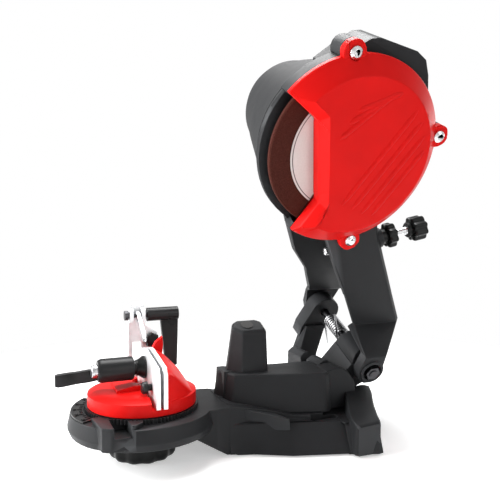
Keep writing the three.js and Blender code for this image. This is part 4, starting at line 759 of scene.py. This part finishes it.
# The angle scale: raised marks and numbers, and the fine teeth that the turntable's pointer runs over
dial = {"middle": 172.5, "top": 34.1, "inner": 39.9, "every": 5, "span": 30, "raise": 0.45, "sink": 0.3,
        "half": 0.3, "foot": 0.36, "long": 3.4, "short": 2.2, "longEvery": 3}
marks = bmesh.new()
for step in range(-dial["span"] // dial["every"], dial["span"] // dial["every"] + 1):
    turn = math.radians(dial["middle"] + step * dial["every"])
    outer = dial["inner"] + (dial["long"] if step % dial["longEvery"] == 0 else dial["short"])
    foot, top = (dial["foot"], -dial["sink"]), (dial["half"], dial["raise"])
    rows = []
    for r, (half, h) in ((dial["inner"], foot), (dial["inner"], top), (outer, top), (outer, foot)):
        rows.append([marks.verts.new(((r * math.cos(turn) - s * half * math.sin(turn)) * mm,
                                      (r * math.sin(turn) + s * half * math.cos(turn)) * mm,
                                      (dial["top"] + h) * mm)) for s in (-1, 1)])
    marks.faces.new([row[0] for row in rows])
    marks.faces.new([row[1] for row in reversed(rows)])
    for first, second in zip(rows, rows[1:] + rows[:1]):
        marks.faces.new((first[0], first[1], second[1], second[0]))
finishPiece("scale_marks", meshFrom("scale_marks", marks), "angle_scale", "black_plastic", viseMatrix, sharp=30)

digits = {"size": 3.4, "reach": 45.0, "half": 0.3, "edge": 0.05, "lift": 0.15, "every": 15}
for step in range(-dial["span"], dial["span"] + 1, digits["every"]):
    text = bpy.data.curves.new("number", "FONT")
    text.body = str(abs(step))
    text.size = digits["size"] * mm
    text.extrude = digits["half"] * mm
    text.bevel_depth = digits["edge"] * mm
    text.align_x, text.align_y = "CENTER", "CENTER"
    holder = bpy.data.objects.new("number", text)
    mesh = bpy.data.meshes.new_from_object(holder)
    bpy.data.objects.remove(holder)
    bpy.data.curves.remove(text)
    onDial = moved(digits["reach"], 0, dial["top"] + digits["lift"]) @ turned(90, "Z")
    finishPiece(f"number_{step + dial['span']}", mesh, "angle_scale", "black_plastic",
                viseMatrix @ turned(dial["middle"] + step, "Z") @ onDial, sharp=30, weighted=False)

# Four points a tooth: root, tip, tip, root
teeth = {"count": 96, "inner": 36.6, "root": 37.3, "tip": 38.2, "low": 33.0, "high": 36.0}


def toothedRadius(i, turn):
    return teeth["tip"] if i % 4 in (1, 2) else teeth["root"]


def innerRadius(i, turn):
    return teeth["inner"]


toothed = bmesh.new()
rings = [ringAt(toothed, teeth["count"] * 4, radiusAt, h) for radiusAt, h in (
    (innerRadius, teeth["low"]), (toothedRadius, teeth["low"]), (toothedRadius, teeth["high"]),
    (innerRadius, teeth["high"]))]
for first, second in zip(rings, rings[1:] + rings[:1]):
    joinRows(toothed, first, second)
finishPiece("scale_teeth", meshFrom("scale_teeth", toothed), "base_casting", "black_plastic", viseMatrix,
            sharp=30)
print("scale")

# The cover's pan-head screws get their cross recess. Top and bottom: how far its arms reach, and half their
# width. Head: how much of the screw's top finds the middle of the head.
recess = {"top": (1.9, 0.48), "bottom": (0.9, 0.3), "depth": 1.5, "over": 0.4, "turn": 24, "head": 1}


def crossRecess(bm):
    points = [v.co / mm for v in bm.verts]
    high = max(p.z for p in points)
    head = [p for p in points if p.z > high - recess["head"]]
    x, y = [(min(p[i] for p in head) + max(p[i] for p in head)) / 2 for i in (0, 1)]
    turn = math.radians(recess["turn"])
    rows = []
    for (arm, half), z in ((recess["bottom"], high - recess["depth"]), (recess["top"], high + recess["over"])):
        corners = [(arm, -half), (arm, half), (half, half), (half, arm), (-half, arm), (-half, half),
                   (-arm, half), (-arm, -half), (-half, -half), (-half, -arm), (half, -arm), (half, -half)]
        rows.append([(x + a * math.cos(turn) - b * math.sin(turn), y + a * math.sin(turn) + b * math.cos(turn),
                      z) for a, b in corners])
    carve(bm, [loftMesh("recess", rows)])


for node in ("cover_screw_1", "cover_screw_2", "cover_screw_3"):
    refine(node, "zinc", 0.15, matrix=headMatrix, change=crossRecess, sharp=30)
print("screws")

# Everything that keeps its own solid gets a finish, and rounded edges where it has a width for them
widths = {"fixed_rail": 0.25, "moving_rail": 0.25, "stop_bracket": 0.5, "stop_lever": 0.6, "clamp_lever": 0.6,
          "barrel_cap": 0.4, "pressure_pad": 0.4, "stop_pawl": 0.3, "hinge_bolt": 0.3, "hinge_nut": 0.4,
          "foot_pad_front_near": 0.4, "foot_pad_front_far": 0.4, "foot_pad_rear_near": 0.4,
          "foot_pad_rear_far": 0.4, "stop_pad": 0.3}
special = {"fixed_rail": rolled, "moving_rail": rolled, "stop_bracket": rolled, "hinge_bolt": dark,
           "hinge_nut": dark, "stop_pivot": dark, "clamp_nut": dark}
slots = {part["node"]: part["material_slot"] for part in frame["record"]["subparts"]
         if part.get("material_slot")}
for node in sorted(nodes):
    if nodes[node].hide_render:
        continue
    slotName = slots.get(node, "steel")
    if node in widths:
        refine(node, slotName, widths[node], material=special.get(node))
        continue
    mesh = nodes[node].data
    mesh.materials.clear()
    mesh.materials.append(special.get(node) or finish[slotName])
print("small parts")

# The floor's middle keeps the shadow, and farther out it goes to plain white, for the camera and in
# reflections. Reach and clear are in metres.
ground = {"reach": 6, "paint": 0.86, "lift": 0.42, "clear": (0.22, 0.42)}


def floorMaterial():
    material = bpy.data.materials.new("stage_white")
    material.use_nodes = True
    tree = material.node_tree
    tree.nodes.clear()
    out = tree.nodes.new("ShaderNodeOutputMaterial")
    paint = tree.nodes.new("ShaderNodeBsdfDiffuse")
    paint.inputs["Color"].default_value = (ground["paint"], ground["paint"], ground["paint"], 1)
    place = tree.nodes.new("ShaderNodeTexCoord")
    far = ramp(tree, reachOf(tree, place.outputs["Object"]), 0, 1, *ground["clear"])
    rays = tree.nodes.new("ShaderNodeLightPath")
    seen = combine(tree, "MAXIMUM", rays.outputs["Is Camera Ray"], rays.outputs["Is Glossy Ray"])
    near = tree.nodes.new("ShaderNodeEmission")
    tree.links.new(combine(tree, "MULTIPLY", seen, ground["lift"]), near.inputs["Strength"])
    both = tree.nodes.new("ShaderNodeAddShader")
    tree.links.new(paint.outputs["BSDF"], both.inputs[0])
    tree.links.new(near.outputs["Emission"], both.inputs[1])
    white = tree.nodes.new("ShaderNodeEmission")
    mix = tree.nodes.new("ShaderNodeMixShader")
    tree.links.new(combine(tree, "MULTIPLY", far, seen), mix.inputs["Fac"])
    tree.links.new(both.outputs["Shader"], mix.inputs[1])
    tree.links.new(white.outputs["Emission"], mix.inputs[2])
    tree.links.new(mix.outputs["Shader"], out.inputs["Surface"])
    return material


rim = ground["reach"]
floorMesh = bpy.data.meshes.new("floor")
floorMesh.from_pydata([(-rim, -rim, 0), (rim, -rim, 0), (rim, rim, 0), (-rim, rim, 0)], [], [(0, 1, 2, 3)])
floor = bpy.data.objects.new("floor", floorMesh)
floorMesh.materials.append(floorMaterial())
bpy.context.scene.collection.objects.link(floor)

# The backdrop: its light on the part, and its white as the camera sees it. In reflections it is half as far
# towards the white.
studio = {"light": 0.25, "white": 1.0, "glossy": 0.5}
world = bpy.data.worlds.new("studio")
bpy.context.scene.world = world
world.use_nodes = True
sky = world.node_tree
backdrop = sky.nodes["Background"]
backdrop.inputs["Color"].default_value = (1, 1, 1, 1)
rays = sky.nodes.new("ShaderNodeLightPath")
direct = combine(sky, "MAXIMUM", rays.outputs["Is Camera Ray"], rays.outputs["Is Transmission Ray"])
mirrored = combine(sky, "MULTIPLY", rays.outputs["Is Glossy Ray"], studio["glossy"])
shown = combine(sky, "MAXIMUM", direct, mirrored)
sky.links.new(ramp(sky, shown, studio["light"], studio["white"], 0, 1), backdrop.inputs["Strength"])

# Each lamp: its place and size in metres and its power in watts. All face the middle of the part.
aim = Vector((0, 0, 0.14))
lamps = {"key": ((-0.60, 0.10, 0.30), 0.42, 7.8), "top": ((0.02, 0.14, 0.74), 0.42, 7.0),
         "front": ((0.45, -1.35, 0.55), 1.0, 6.2), "edge": ((0.9, 0.5, 0.55), 0.6, 4.0)}
for name, (place, size, power) in lamps.items():
    data = bpy.data.lights.new(name, "AREA")
    data.size = size
    data.energy = power
    lamp = bpy.data.objects.new(name, data)
    lamp.location = place
    lamp.rotation_euler = (aim - Vector(place)).to_track_quat("-Z", "Y").to_euler()
    bpy.context.scene.collection.objects.link(lamp)

# The camera, as fitted to the photo: its place in metres
view = {"place": (-0.1911, -0.4041, 0.1619), "turn": (87, 0, -22.34), "lens": 43.2, "sensor": 36}
cameraData = bpy.data.cameras.new("camera")
cameraData.lens = view["lens"]
cameraData.sensor_width = view["sensor"]
camera = bpy.data.objects.new("camera", cameraData)
camera.location = view["place"]
camera.rotation_euler = [math.radians(angle) for angle in view["turn"]]
bpy.context.scene.collection.objects.link(camera)
bpy.context.scene.camera = camera
bpy.context.scene.view_settings.view_transform = "Standard"
print("stage")
